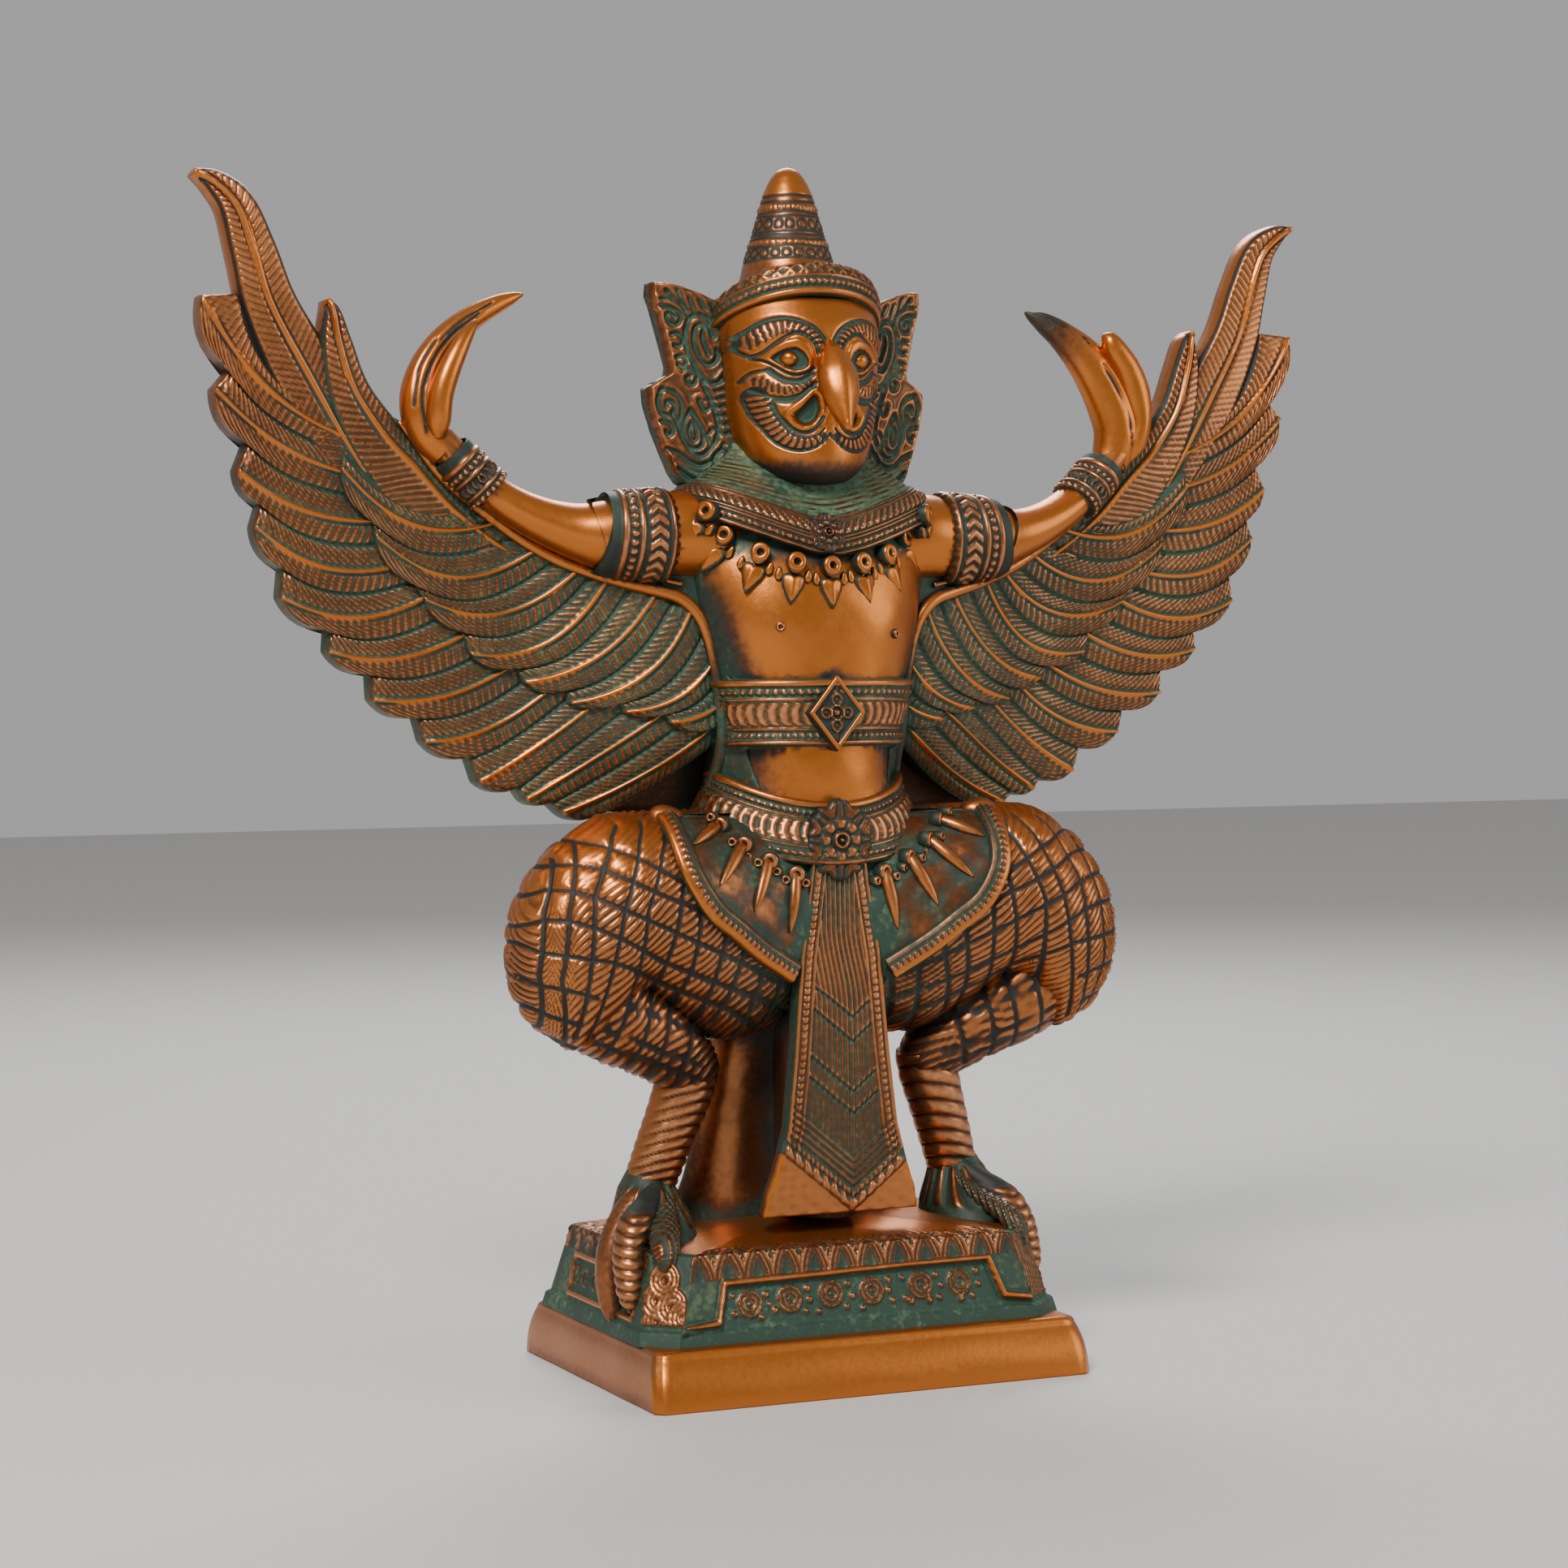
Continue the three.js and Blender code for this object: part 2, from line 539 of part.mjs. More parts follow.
// The open corners of the beak
function mouthCut() {
  const shape = egg([12.5, -36, 359], [6.4, 8, 6.8], 6, 4);
  cut(shape);
  cut(mirrored(shape));
}

// Ear: a flange in two lobes that leans back from the head, each with a raised curl
const earFront = -3;

function ear() {
  const outline = [[28, 345], [34, 335], [50.5, 338], [53.5, 350], [56.5, 361], [57, 373], [49.5, 377],
    [51, 385], [53.5, 396], [56, 411.5], [47, 412], [39, 409.5], [29, 400]];
  const lean = 0.3;
  const leant = ({ points, faces }) => ({
    points: points.map(([x, y, z]) => [x, y + lean * (x - outline[0][0] * unit), z]), faces,
  });
  joinBoth(leant(plate(outline, earFront, outline, earFront + earThickness / unit)));
  const upper = [[35, 404], [48, 402], [44, 386], [38, 393]];
  const lower = [[36, 344], [50, 350], [47, 369], [41, 360]];
  for (const curl of [upper, lower]) {
    joinBoth(leant(limb(curl.map(([x, z]) => [x, earFront, z, 2, 2.4]), 6, 4)));
  }
}

// Crown: banded circlet with a ring of leaves, cap and a tapering spire
function crown() {
  const axisY = 4;
  const rows = [[391, 30, 1], [392, 34.5, 1], [397, 36, 1], [398.5, 34.4, 1], [410, 34, 0.8],
    [414, 29, 0.5], [419, 21, 0], [421, 21.5, 0], [424, 18.6, 0],
    [428, 18.4, 0], [431, 15.6, 0], [440, 12.6, 0], [448, 9.8, 0], [453.5, 6.6, 0]];
  const rings = rows.map(([z, radius, lean]) => {
    const ring = ellipse([0, axisY, z], [radius, 0, 0], [0, radius, 0], 12);
    return ring.map(([x, y, height]) => place([x, y, height + ((axisY - y) / 36) * 4 * lean]));
  });
  join(loft(rings, undefined, place([0, axisY + 1, 457])));
  const leaves = 14;
  for (let k = 0; k < leaves; k += 1) {
    const angle = ((k + 0.5) / leaves) * 2 * Math.PI;
    const [dx, dy] = [Math.cos(angle), Math.sin(angle)];
    const rise = -dy * 3.6;
    const at = (radius, side, z) =>
      place([dx * radius - dy * side, axisY + dy * radius + dx * side, z + rise]);
    const foot = [at(35.5, -7, 399), at(38.5, 0, 399), at(35.5, 7, 399), at(30, 0, 399)];
    join(loft([foot], undefined, at(33.5, 0, 412.5)));
  }
}

// Wings: fans of feathers in front of a web that joins them to the back. A feather's
// quill is a ridge, and the groove beside it ends in the notch between two tips
const wingFront = 9;
const wingBack = wingFront + wingThickness / unit;
const splay = 1;

// Outer ends of the long feathers from the second down to the thigh, the notch
// above each, and their quills' inner ends
const longTips = [[226, 399], [221.5, 367], [213.5, 338], [207.5, 318], [198, 292.5], [180.5, 273],
  [164, 255.5], [144.5, 240], [119, 223], [106, 218], [92, 213]];
const notches = [[212, 401], [215.5, 374], [209.5, 348], [205, 326], [197, 303], [180, 281], [164.5, 265],
  [147, 249], [126, 233.5], [109, 222.5], [96, 217], [84, 212]];
const longRoots = [[152, 342], [148, 331], [138, 318], [128, 304], [116, 292], [102, 281], [88, 271],
  [74, 262], [60, 253], [46, 247], [36, 236]];
// the same for the short feathers that lie over them
const shortTips = [[178, 339], [166, 314], [147, 291], [129, 271], [109, 260], [92, 252], [73, 248],
  [56, 246]];
const shortRoots = [[140, 336], [124, 320], [108, 309], [92, 301], [76, 295], [58, 291], [42, 280],
  [33, 262]];

// Fan of feathers: a line for every ridge and every groove, from its root to its end
function fan(tips, gaps, roots, stations, ridge, groove, back, spread) {
  const sag = [2, -8];
  const lines = [];
  gaps.forEach((gap, k) => {
    const [before, after] = [roots[Math.max(0, k - 1)], roots[Math.min(k, roots.length - 1)]];
    const edge = k === 0 || k === roots.length ? (k ? -3 : 3) : 0;
    lines.push([[(before[0] + after[0]) / 2 + edge * 0.5, (before[1] + after[1]) / 2 + edge], gap, groove]);
    if (k < tips.length) lines.push([roots[k], tips[k], ridge]);
  });
  const rings = lines.map(([root, end, front]) => {
    const middle = [(root[0] + end[0]) / 2 + sag[0], (root[1] + end[1]) / 2 + sag[1]];
    const at = (t, y) => {
      const [x, z] = [0, 1].map((k) =>
        (1 - t) ** 2 * root[k] + 2 * t * (1 - t) * middle[k] + t ** 2 * end[k]);
      return place([x, y, z]);
    };
    const away = Math.atan2(end[1] - root[1], end[0] - root[0]);
    const far = place([end[0] + Math.cos(away) * spread, back, end[1] + Math.sin(away) * spread]);
    return [...stations.map((t) => at(t, front)), at(1, front + 1.4), far, at(0, back)];
  });
  return loft(rings);
}

// Free feather at the top of the wing: rows of [x, z, half width] along its quill
function plume(rows, tip) {
  const rings = rows.map(([x, z, half], k) => {
    const [from, to] = [rows[Math.max(0, k - 1)], rows[Math.min(k + 1, rows.length - 1)]];
    const size = Math.hypot(to[0] - from[0], to[1] - from[1]);
    const [dx, dz] = [(to[0] - from[0]) / size, (to[1] - from[1]) / size];
    const side = (offset, y) => place([x - dz * offset, y, z + dx * offset]);
    return [side(half, wingFront), side(0, wingFront - 2.6), side(-half, wingFront),
      side(-half - splay * 0.6, wingBack), side(half + splay * 0.6, wingBack)];
  });
  return loft(rings, undefined, place([tip[0], wingFront + 5, tip[1]]));
}

function wing() {
  const web = [[84, 212], [70, 202], [-1, 202], [-1, 314], [60, 312], [88, 314], [112, 327], [134, 346],
    [152, 356], [168, 366], [190, 380], [160, 300], [110, 240]];
  joinBoth(plate(web, wingFront + 2.2, web, wingBack));
  const armpit = [[36, 210], [-1, 210], [-1, 312], [60, 310], [88, 312], [112, 325], [134, 344], [148, 352],
    [130, 325], [110, 309], [84, 298], [56, 291], [42, 279], [34, 240]];
  joinBoth(plate(armpit, wingFront - 2.5, armpit, wingFront + 5));
  joinBoth(fan(longTips, notches, longRoots, [0, 0.45, 0.85], wingFront - 1.6, wingFront + 1.6,
    wingBack, splay));
  const shortGaps = [[176, 347], ...shortTips.slice(1).map(([x, z], k) =>
    [(x + shortTips[k][0]) / 2 - 5, (z + shortTips[k][1]) / 2 + 2]), [46, 243]];
  joinBoth(fan(shortTips, shortGaps, shortRoots, [0, 0.5], wingFront - 4.6, wingFront - 1.8,
    wingFront + 3, 0));
  joinBoth(plume([[170, 350, 11], [188, 374, 12], [201, 398, 9.5], [207, 417, 7.6], [213, 433, 5.4],
    [218.5, 441, 4]], [228, 445.5]));
  joinBoth(plume([[150, 343, 7], [163, 357, 7], [172, 372, 6], [177.5, 387, 4.4]], [180, 401.5]));
  const rib = [[150, 350], [132, 328], [112, 312], [84, 301], [56, 294], [42, 281], [35, 262],
    [33, 240], [36, 222]];
  joinBoth(limb(rib.map(([x, z]) => [x, wingFront - 1, z, 4.2, 7.5]), 10, 5));
}

join(lowerBlock());
join(upperBlock());
plinthCarving();
tail();
foot();
leg();
join(upright(torsoRows, 14));
belts();
skirt();
drape();
necklace();
arm();
wing();
crown();
head();
mouthCut();
ear();

const mesh = whole.getMesh();
const geometry = new THREE.BufferGeometry();
geometry.setAttribute('position', new THREE.BufferAttribute(Float32Array.from(mesh.vertProperties), 3));
geometry.setIndex(new THREE.BufferAttribute(Uint32Array.from(mesh.triVerts), 1));
geometry.computeVertexNormals();

const castMetal = new THREE.MeshStandardMaterial({ color: 0xa8622a, roughness: 0.42, metalness: 0.85 });
const figure = new THREE.Mesh(geometry, castMetal);
figure.name = 'garuda_figure';

const group = new THREE.Group();
group.add(figure);

export default group;
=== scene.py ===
import bpy
import numpy as np
from mathutils import Matrix, Vector


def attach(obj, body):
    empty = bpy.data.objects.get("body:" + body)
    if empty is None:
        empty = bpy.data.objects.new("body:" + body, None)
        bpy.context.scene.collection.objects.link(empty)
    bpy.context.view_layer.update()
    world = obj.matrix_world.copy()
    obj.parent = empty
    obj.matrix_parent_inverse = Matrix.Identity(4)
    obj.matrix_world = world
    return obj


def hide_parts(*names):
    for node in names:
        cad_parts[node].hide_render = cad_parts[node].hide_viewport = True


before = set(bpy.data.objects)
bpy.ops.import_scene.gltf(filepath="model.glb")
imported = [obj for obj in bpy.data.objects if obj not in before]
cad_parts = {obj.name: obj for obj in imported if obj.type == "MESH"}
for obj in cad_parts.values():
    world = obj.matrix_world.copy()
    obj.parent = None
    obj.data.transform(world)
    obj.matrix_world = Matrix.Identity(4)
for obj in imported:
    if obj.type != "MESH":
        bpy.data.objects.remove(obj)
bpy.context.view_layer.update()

# Everything is worked out in millimetres, x to the figure's left hand, y to its back, z up.
# The figure's own axis stands a little in front of the plinth's.
figureBack = -2
mm = 0.001


# Shared surface tools

def along(points, t):
    # Smooth line through a list of points: a cubic between each two, t from 0 at the first to 1
    points = np.asarray(points, float)
    ends = np.vstack([2 * points[0] - points[1], points, 2 * points[-1] - points[-2]])
    spot = np.clip(t, 0, 1) * (len(points) - 1)
    cell = np.minimum(spot.astype(int), len(points) - 2)
    u = (spot - cell)[..., None]
    a, b, c, d = (ends[cell + k] for k in range(4))
    return b + 0.5 * u * (c - a + u * (2 * a - 5 * b + 4 * c - d + u * (3 * b - a - 3 * c + d)))


def arc(start, bend, end, t):
    # Curve from start to end that leaves and arrives towards bend: the weighted sum of the three
    t = np.asarray(t)[..., None]
    return (1 - t) ** 2 * start + 2 * t * (1 - t) * bend + t ** 2 * end


def fade(value, low, high):
    # 0 below low, 1 above high and an even s-curve between
    t = np.clip((value - low) / (high - low), 0, 1)
    return t * t * (3 - 2 * t)


def mound(distance, half):
    # Round cord in section: the height of a half circle of that half width, 1 at its middle
    return np.sqrt(np.clip(1 - (distance / half) ** 2, 0, 1))


def furrow(distance, half):
    # Soft groove in section: a bell curve, 1 at its middle
    return np.exp(-(distance / half) ** 2)


def nearest(path, a, b):
    # Distance of each point (a, b) from a line of points, how far along it lies, and its side
    path = np.asarray(path, float)
    best, run, side = np.full(a.shape, 1e9), np.zeros(a.shape), np.zeros(a.shape)
    start = 0.0
    for p, q in zip(path[:-1], path[1:]):
        step = q - p
        length = np.hypot(*step)
        share = np.clip(((a - p[0]) * step[0] + (b - p[1]) * step[1]) / length ** 2, 0, 1)
        offA, offB = a - p[0] - share * step[0], b - p[1] - share * step[1]
        distance = np.hypot(offA, offB)
        closer = distance < best
        best = np.where(closer, distance, best)
        run = np.where(closer, start + share * length, run)
        side = np.where(closer, np.sign(step[0] * offB - step[1] * offA), side)
        start += length
    return best, run, side


def volume(rings):
    # Space inside: the sum of the wedges between the skin's cells and its middle. It is below
    # zero where the rings run the other way round
    middle = rings.mean(axis=(0, 1))
    after = np.roll(rings, -1, 1)
    return (np.cross(rings[:-1] - middle, after[:-1] - middle) * (rings[1:] - middle)).sum()


def normals(rings):
    # Each point's outward normal: the cross product of the grid's two directions
    down = np.gradient(rings, axis=0)
    ahead = (np.roll(rings, -1, 1) - np.roll(rings, 1, 1)) / 2
    cross = np.cross(ahead, down)
    cross /= np.maximum(np.linalg.norm(cross, axis=2, keepdims=True), 1e-9)
    return cross if volume(rings) > 0 else -cross


def shell(rings, relief, tone, polish, green):
    # Closed skin between rings of points, with relief in mm along its own normals. tone is
    # how high a point stands over its surroundings, -1 to 1, polish how rubbed it is, 0 to 1,
    # and green how much of its pits is verdigris
    size = rings.shape[:2]
    layers = [np.broadcast_to(value, size) for value in (tone, polish, green)]
    raised = rings + normals(rings) * np.broadcast_to(relief, size)[..., None]
    return {"rings": raised, "layers": np.stack(layers, -1)}


def skin(shells):
    # Points, faces and layers of several shells together; each end ring closes on its middle
    points, quads, fans, layers, start = [], [], [], [], 0
    for part in shells:
        rings, values = part["rings"], part["layers"]
        rows, cols = rings.shape[:2]
        index = start + np.arange(rows * cols).reshape(rows, cols)
        after = np.roll(index, -1, 1)
        faces = np.stack([index[:-1], after[:-1], after[1:], index[1:]], -1).reshape(-1, 4)
        poles = [start + rows * cols, start + rows * cols + 1]
        caps = [np.stack([after[0], index[0], np.full(cols, poles[0])], -1),
                np.stack([index[-1], after[-1], np.full(cols, poles[1])], -1)]
        if volume(rings) < 0:
            faces, caps = faces[:, ::-1], [cap[:, ::-1] for cap in caps]
        points += [rings.reshape(-1, 3), rings[0].mean(0)[None], rings[-1].mean(0)[None]]
        layers += [values.reshape(-1, 3), values[0].mean(0)[None], values[-1].mean(0)[None]]
        quads.append(faces)
        fans += caps
        start += rows * cols + 2
    return np.vstack(points), np.vstack(quads), np.vstack(fans), np.vstack(layers)


cast = {}  # every finished piece, for the shading of hollows at the end


def castPiece(name, shells, mirrored=False):
    # One mesh from several shells, in place, with the layers as attributes
    points, quads, fans, layers = skin(shells)
    if mirrored:
        points, quads, fans = points * [-1, 1, 1], quads[:, ::-1], fans[:, ::-1]
    # each quad is split between its first and third corner: turned so that this runs along a cut
    apart = np.abs(layers[quads, 0] - np.roll(layers[quads, 0], -2, 1))
    quads = np.where(apart[:, :1] > apart[:, 1:2], np.roll(quads, -1, 1), quads)
    points = (points + [0, figureBack, 0]) * mm
    mesh = bpy.data.meshes.new(name)
    mesh.from_pydata(points, [], quads.tolist() + fans.tolist())
    mesh.polygons.foreach_set("use_smooth", np.ones(len(mesh.polygons), bool))
    for k, layer in enumerate(("tone", "polish", "green")):
        values = np.ascontiguousarray(layers[:, k], np.float32)
        mesh.attributes.new(layer, "FLOAT", "POINT").data.foreach_set("value", values)
    piece = bpy.data.objects.new(name, mesh)
    bpy.context.scene.collection.objects.link(piece)
    corners = points[quads]
    area = np.linalg.norm(np.cross(corners[:, 2] - corners[:, 0], corners[:, 3] - corners[:, 1]), axis=1)
    weight = np.bincount(quads.ravel(), np.repeat(area / 8, 4), len(points))
    cast[name] = {"object": piece, "points": points, "weight": weight}
    print(name, 2 * len(quads) + len(fans), "triangles")


def castPair(name, shells):
    # The same shells at the figure's left and, mirrored, at its right
    castPiece(name + "Left", shells)
    castPiece(name + "Right", shells, mirrored=True)


# Wings

wing = {
    "front": 9.3,  # y of the long feathers' groove side
    "back": 22,
    "quillHalf": 1.1,
    "quillHeight": 0.95,
    "barbPitch": 2.9,
    "barbDepth": 0.42,
    "barbSlant": 0.75,
    "lineDepth": 0.8,
    "coverRise": 3.2,  # of the short feathers over the long ones
    "plumeAcross": 24,  # points across a free feather
}
# Tip, bend and root of each long feather's quill, from the second feather down to the thigh
longQuills = [[(226, 400), (209, 364), (176, 352)], [(221.5, 367), (202, 345), (174, 338)],
              [(213.5, 338), (191, 319), (162, 321)], [(207.5, 318), (184, 296), (153, 305)],
              [(198, 292.5), (171, 278), (143, 294)], [(180.5, 273), (154, 265), (127, 281)],
              [(164, 255.5), (135, 252), (110, 269)], [(144.5, 240), (119, 240), (97, 260)],
              [(124, 225), (104, 235), (83, 253)], [(106, 218), (82, 232), (58, 250)],
              [(92, 213), (62, 224), (39, 245)]]
# Outer ends of the grooves between them
longNotches = [(212, 401), (215.5, 374), (209.5, 348), (205, 326), (197, 303), (180, 281),
               (164.5, 265), (147, 249), (127, 234), (109, 222.5), (96, 217), (80, 211)]
coverQuills = [[(176, 339), (153, 310), (120, 320)], [(163.5, 315), (135, 288), (103, 311)],
               [(145, 292), (114, 277), (88, 304)], [(127.5, 272), (96, 267), (79, 299)],
               [(107, 261.5), (79, 265), (63, 292)], [(91, 253.5), (61, 258), (49, 287)],
               [(72, 250), (46, 252), (36, 277)], [(56, 246), (42, 247), (32, 257)]]
coverNotches = [(174.5, 344), (164, 320), (148, 297), (130, 280), (110, 267), (92, 258.5),
                (74, 254.5), (58, 250), (44, 243)]


# Free feathers: x, z and the widths of the outer and the inner vane
tipPlume = [(160, 328, 6, 8), (172, 346, 10, 10), (188, 374, 12, 11), (201, 398, 9.5, 10),
            (207, 417, 8, 8.6), (213, 433, 5.8, 7), (221, 441, 3, 4.6), (228, 445, 0.4, 0.6)]
innerPlume = [(112, 309, 3, 3), (124, 317, 9, 5.5), (136, 327, 15, 6.5), (148, 340, 17, 6.5),
              (160, 352, 13.5, 7), (171, 368, 9.5, 6), (176.5, 385, 6, 5), (178.5, 396, 2.6, 3),
              (180, 401, 0.4, 0.4)]


def forward(x, z):
    # How far the wing's face stands forward of its plane: it bends out to meet the torso's side
    return 20 * (1 - fade(x, 40, 120)) * (0.3 + 0.7 * fade(z, 208, 246))


def featherRelief(run, across, width, noise):
    # Relief of a feather: a round quill between two cut lines, slanted cuts on each vane,
    # and a deep groove at its edge. run is measured along the quill, across from it
    side = np.abs(across)
    quill = wing["quillHalf"]
    vane = fade(side, quill + 0.5, quill + 0.9) * (1 - fade(side, width - 1.2, width - 0.7))
    phase = (run - side * wing["barbSlant"]) / wing["barbPitch"] + noise
    cuts = vane * np.cos(phase * 2 * np.pi) * wing["barbDepth"]
    body = 0.7 * (1 - (side / np.maximum(width, 1)) ** 2) * fade(width, 1, 4)
    lines = furrow(side - quill - 0.3, 0.36) + 1.3 * furrow(width - side, 0.65)
    stem = mound(side, quill)
    relief = body + cuts - wing["lineDepth"] * lines + wing["quillHeight"] * stem
    tone = 0.3 + 0.62 * cuts / wing["barbDepth"] - 1.2 * lines
    return relief, np.where(side < quill, 0.1 + 0.6 * stem, tone), 0.7 * fade(quill + 0.2 - side, 0, 0.3)


def fan(quills, notches, level, steps, perVane, reach):
    # Feathers side by side: lines of points for each quill and each groove, blended across.
    # Every line is an arc from its root to its end; the ends run from notch to tip in a bow.
    # reach is how far the lines start behind their roots, hidden inside the wing
    tips, bends, roots = (np.array([quill[k] for quill in quills], float) for k in range(3))
    gaps = np.array(notches, float)
    inner = np.vstack([roots[:1] + [2, 5], (roots[1:] + roots[:-1]) / 2, roots[-1:] + [-3, -6]])
    middle = np.vstack([bends[:1] + [0, 7], (bends[1:] + bends[:-1]) / 2, bends[-1:] + [-3, -6]])
    share = np.linspace(0, 1, perVane, endpoint=False)
    share = share - 0.08 * np.sin(share * 2 * np.pi)  # denser near quills and grooves
    lines = [[], [], []]
    for k in range(len(quills)):
        for low, high, spot in (((inner[k], middle[k], gaps[k]), (roots[k], bends[k], tips[k]), 0),
                                ((roots[k], bends[k], tips[k]),
                                 (inner[k + 1], middle[k + 1], gaps[k + 1]), 1)):
            for out, a, b in zip(lines, low, high):
                out.append(a + (b - a) * share[:, None])
            if spot:  # the lower side of a tip bows outwards
                chord = gaps[k + 1] - tips[k]
                bow = np.array([-chord[1], chord[0]]) * 0.16
                bow *= 1 if bow[1] < 0 or bow[0] > 0 else -1
                lines[2][-1] = lines[2][-1] + np.outer(4 * share * (1 - share), bow)
    lines = [np.vstack(line) for line in lines]
    hidden = 2 + int(reach * 25)
    t = np.r_[np.linspace(-reach, 0.04, hidden, endpoint=False), np.linspace(0.04, 1, steps - hidden)]
    flat = arc(*(line[:, None] for line in lines), t[None])
    # measures along and across: from the quill's own line at the same t
    count = len(quills)
    own = np.repeat(np.arange(count), 2 * perVane)
    quillLine = arc(roots[own][:, None], bends[own][:, None], tips[own][:, None], t[None])
    run = np.cumsum(np.linalg.norm(np.diff(quillLine, axis=1, prepend=quillLine[:, :1]), axis=2), 1)
    across = np.linalg.norm(flat - quillLine, axis=2)
    upper = (np.arange(len(own)) % (2 * perVane)) < perVane
    edge = np.where(upper, own, own + 1)
    grooveLine = arc(inner[edge][:, None], middle[edge][:, None], gaps[edge][:, None], t[None])
    width = np.linalg.norm(grooveLine - quillLine, axis=2)
    noise = 0.12 * np.sin(own * 7.0)[:, None] * np.sin(t * 9)[None]
    relief, tone, smooth = featherRelief(run, across, width, noise)
    endFade = fade(t, 0.93, 1.0)[None]
    relief = relief - endFade * 0.9
    y = level - relief - forward(flat[..., 0], flat[..., 1])
    front = np.stack([flat[..., 0], y, flat[..., 1]], -1)
    return front, tone, smooth


def closeBehind(front, tone, smooth, back, rows):
    # Turns a front sheet into a closed shell: a rounded outer edge, a plain back with grooves
    # that follow the feathers, and the way back to the root inside the wing
    edge = front[:, -1]
    away = edge[:, [0, 2]] - front[:, -4][:, [0, 2]]
    away /= np.maximum(np.linalg.norm(away, axis=1, keepdims=True), 1e-6)
    rim, rimTone = [], []
    for depth, out in ((0.12, 0.9), (0.4, 1.1), (0.85, 1.0), (1.0, 0.2)):
        y = edge[:, 1] + (back - edge[:, 1]) * depth
        rim.append(np.stack([edge[:, 0] + away[:, 0] * out, y, edge[:, 2] + away[:, 1] * out], -1))
        rimTone.append(np.full(len(edge), 0.1 if depth < 0.2 else -0.15))
    spots = np.linspace(front.shape[1] - 3, 0, rows).astype(int)
    behind = front[:, spots].copy()
    lines = np.clip(-tone[:, spots], 0, 1) * (smooth[:, spots] < 0.5)
    behind[..., 1] = back - 0.5 * lines
    rings = np.concatenate([front, np.stack(rim, 1), behind], 1)
    tone = np.concatenate([tone, np.stack(rimTone, 1), 0.15 - 0.7 * lines], 1)
    tone -= 0.4 - 0.3 * fade(rings[..., 0], 60, 165)
    polish = np.concatenate([0.3 + 0.7 * smooth, np.full((len(edge), len(rim)), 0.35),
                             np.full(lines.shape, 0.45)], 1)
    return {"rings": rings, "layers": np.stack([tone, polish, wingGreen(rings)], -1)}


def sheetShell(x, rings, tone, polish, green):
    # A sheet's closed shell: each layer is its values over the front and one for the rest, or
    # an array over the whole
    extra = rings.shape[1] - x.shape[1]
    layers = []
    for layer in (tone, polish, green):
        if isinstance(layer, tuple):
            layer = np.concatenate([layer[0] + 0 * x, np.full((len(x), extra), layer[1])], 1)
        layers.append(layer)
    return {"rings": rings, "layers": np.stack(layers, -1)}


def wingGreen(rings):
    # The upper, outer feathers are rubbed to copper; the green gathers low and near the body
    return np.clip(1.15 - fade(rings[..., 0] * 0.6 + rings[..., 2] * 0.8, 330, 480), 0.15, 1)


def plume(rows, steps, level, back):
    # Free feather along its own quill: rows of x, z, and the widths of its outer and inner
    # vane. Each point is the quill plus its share of the vane's width, square to the quill
    t = np.linspace(0, 1, steps)
    line = along(rows, t)
    ahead = np.gradient(line[:, :2], axis=0)
    ahead /= np.linalg.norm(ahead, axis=1, keepdims=True)
    share = np.linspace(-1, 1, wing["plumeAcross"])[None]
    width = np.where(share > 0, line[:, 2:3], line[:, 3:4])
    offset = share * width
    x = line[:, 0:1] + ahead[:, 1:2] * offset
    z = line[:, 1:2] - ahead[:, 0:1] * offset
    run = np.cumsum(np.r_[0, np.linalg.norm(np.diff(line[:, :2], axis=0), axis=1)])[:, None]
    relief, tone, smooth = featherRelief(run, offset, np.maximum(width, 0.5), 0)
    taper = 1 - fade(t, 0.93, 1)[:, None]
    front = np.stack([x, level - relief * taper, z], -1)
    # rounded sides and a flat back
    sides = []
    for row, beside in ((-1, -2), (0, 1)):
        edge = front[:, row]
        out = (edge - front[:, beside])[:, [0, 2]]
        out = out / np.maximum(np.linalg.norm(out, axis=1, keepdims=True), 1e-6)
        ring = []
        for depth, push in ((0.15, 0.7), (0.5, 1.0), (0.9, 0.8)):
            y = edge[:, 1] + (back - edge[:, 1]) * depth
            ring.append(np.stack([edge[:, 0] + out[:, 0] * push, y, edge[:, 2] + out[:, 1] * push], -1))
        sides.append(np.stack(ring, 1))
    behind = front[:, ::-6].copy()
    behind[..., 1] = back
    rings = np.concatenate([front, sides[0], behind, sides[1][:, ::-1]], 1)
    return sheetShell(x, rings, (tone * taper, 0.06), (0.3 + 0.7 * smooth, 0.3 + 0.7 * 0.4),
                      wingGreen(rings))


def feathers(quills, notches, level, back, reach, rows):
    # One tier of the wing, closed behind
    return closeBehind(*fan(quills, notches, level, 112, 9, reach), back, rows)


wingParts = [feathers(longQuills, longNotches, wing["front"], wing["back"], 0.3, 15),
             feathers(coverQuills, coverNotches, wing["front"] - wing["coverRise"], 12, 0.03, 3),
             plume(tipPlume, 160, wing["front"] - 0.4, wing["back"] - 1.6),
             plume(innerPlume, 140, wing["front"] - 2.4, wing["back"] - 3)]
for part in wingParts:  # painted highlight: the outer feathers are made lighter and more polished
    outerHighlight = fade(part["rings"][..., 0] * 0.6 + part["rings"][..., 2] * 0.8, 375, 445)
    part["layers"][..., 0] += outerHighlight * (0.22 - 0.25 * part["layers"][..., 0])
    part["layers"][..., 1] = np.minimum(part["layers"][..., 1] + 0.18 * outerHighlight, 1)
castPair("wing", wingParts)


def lengths(points):
    # Length along a line of points, up to each of them
    return np.cumsum(np.linalg.norm(np.diff(points, axis=0, prepend=points[:1]), axis=1))


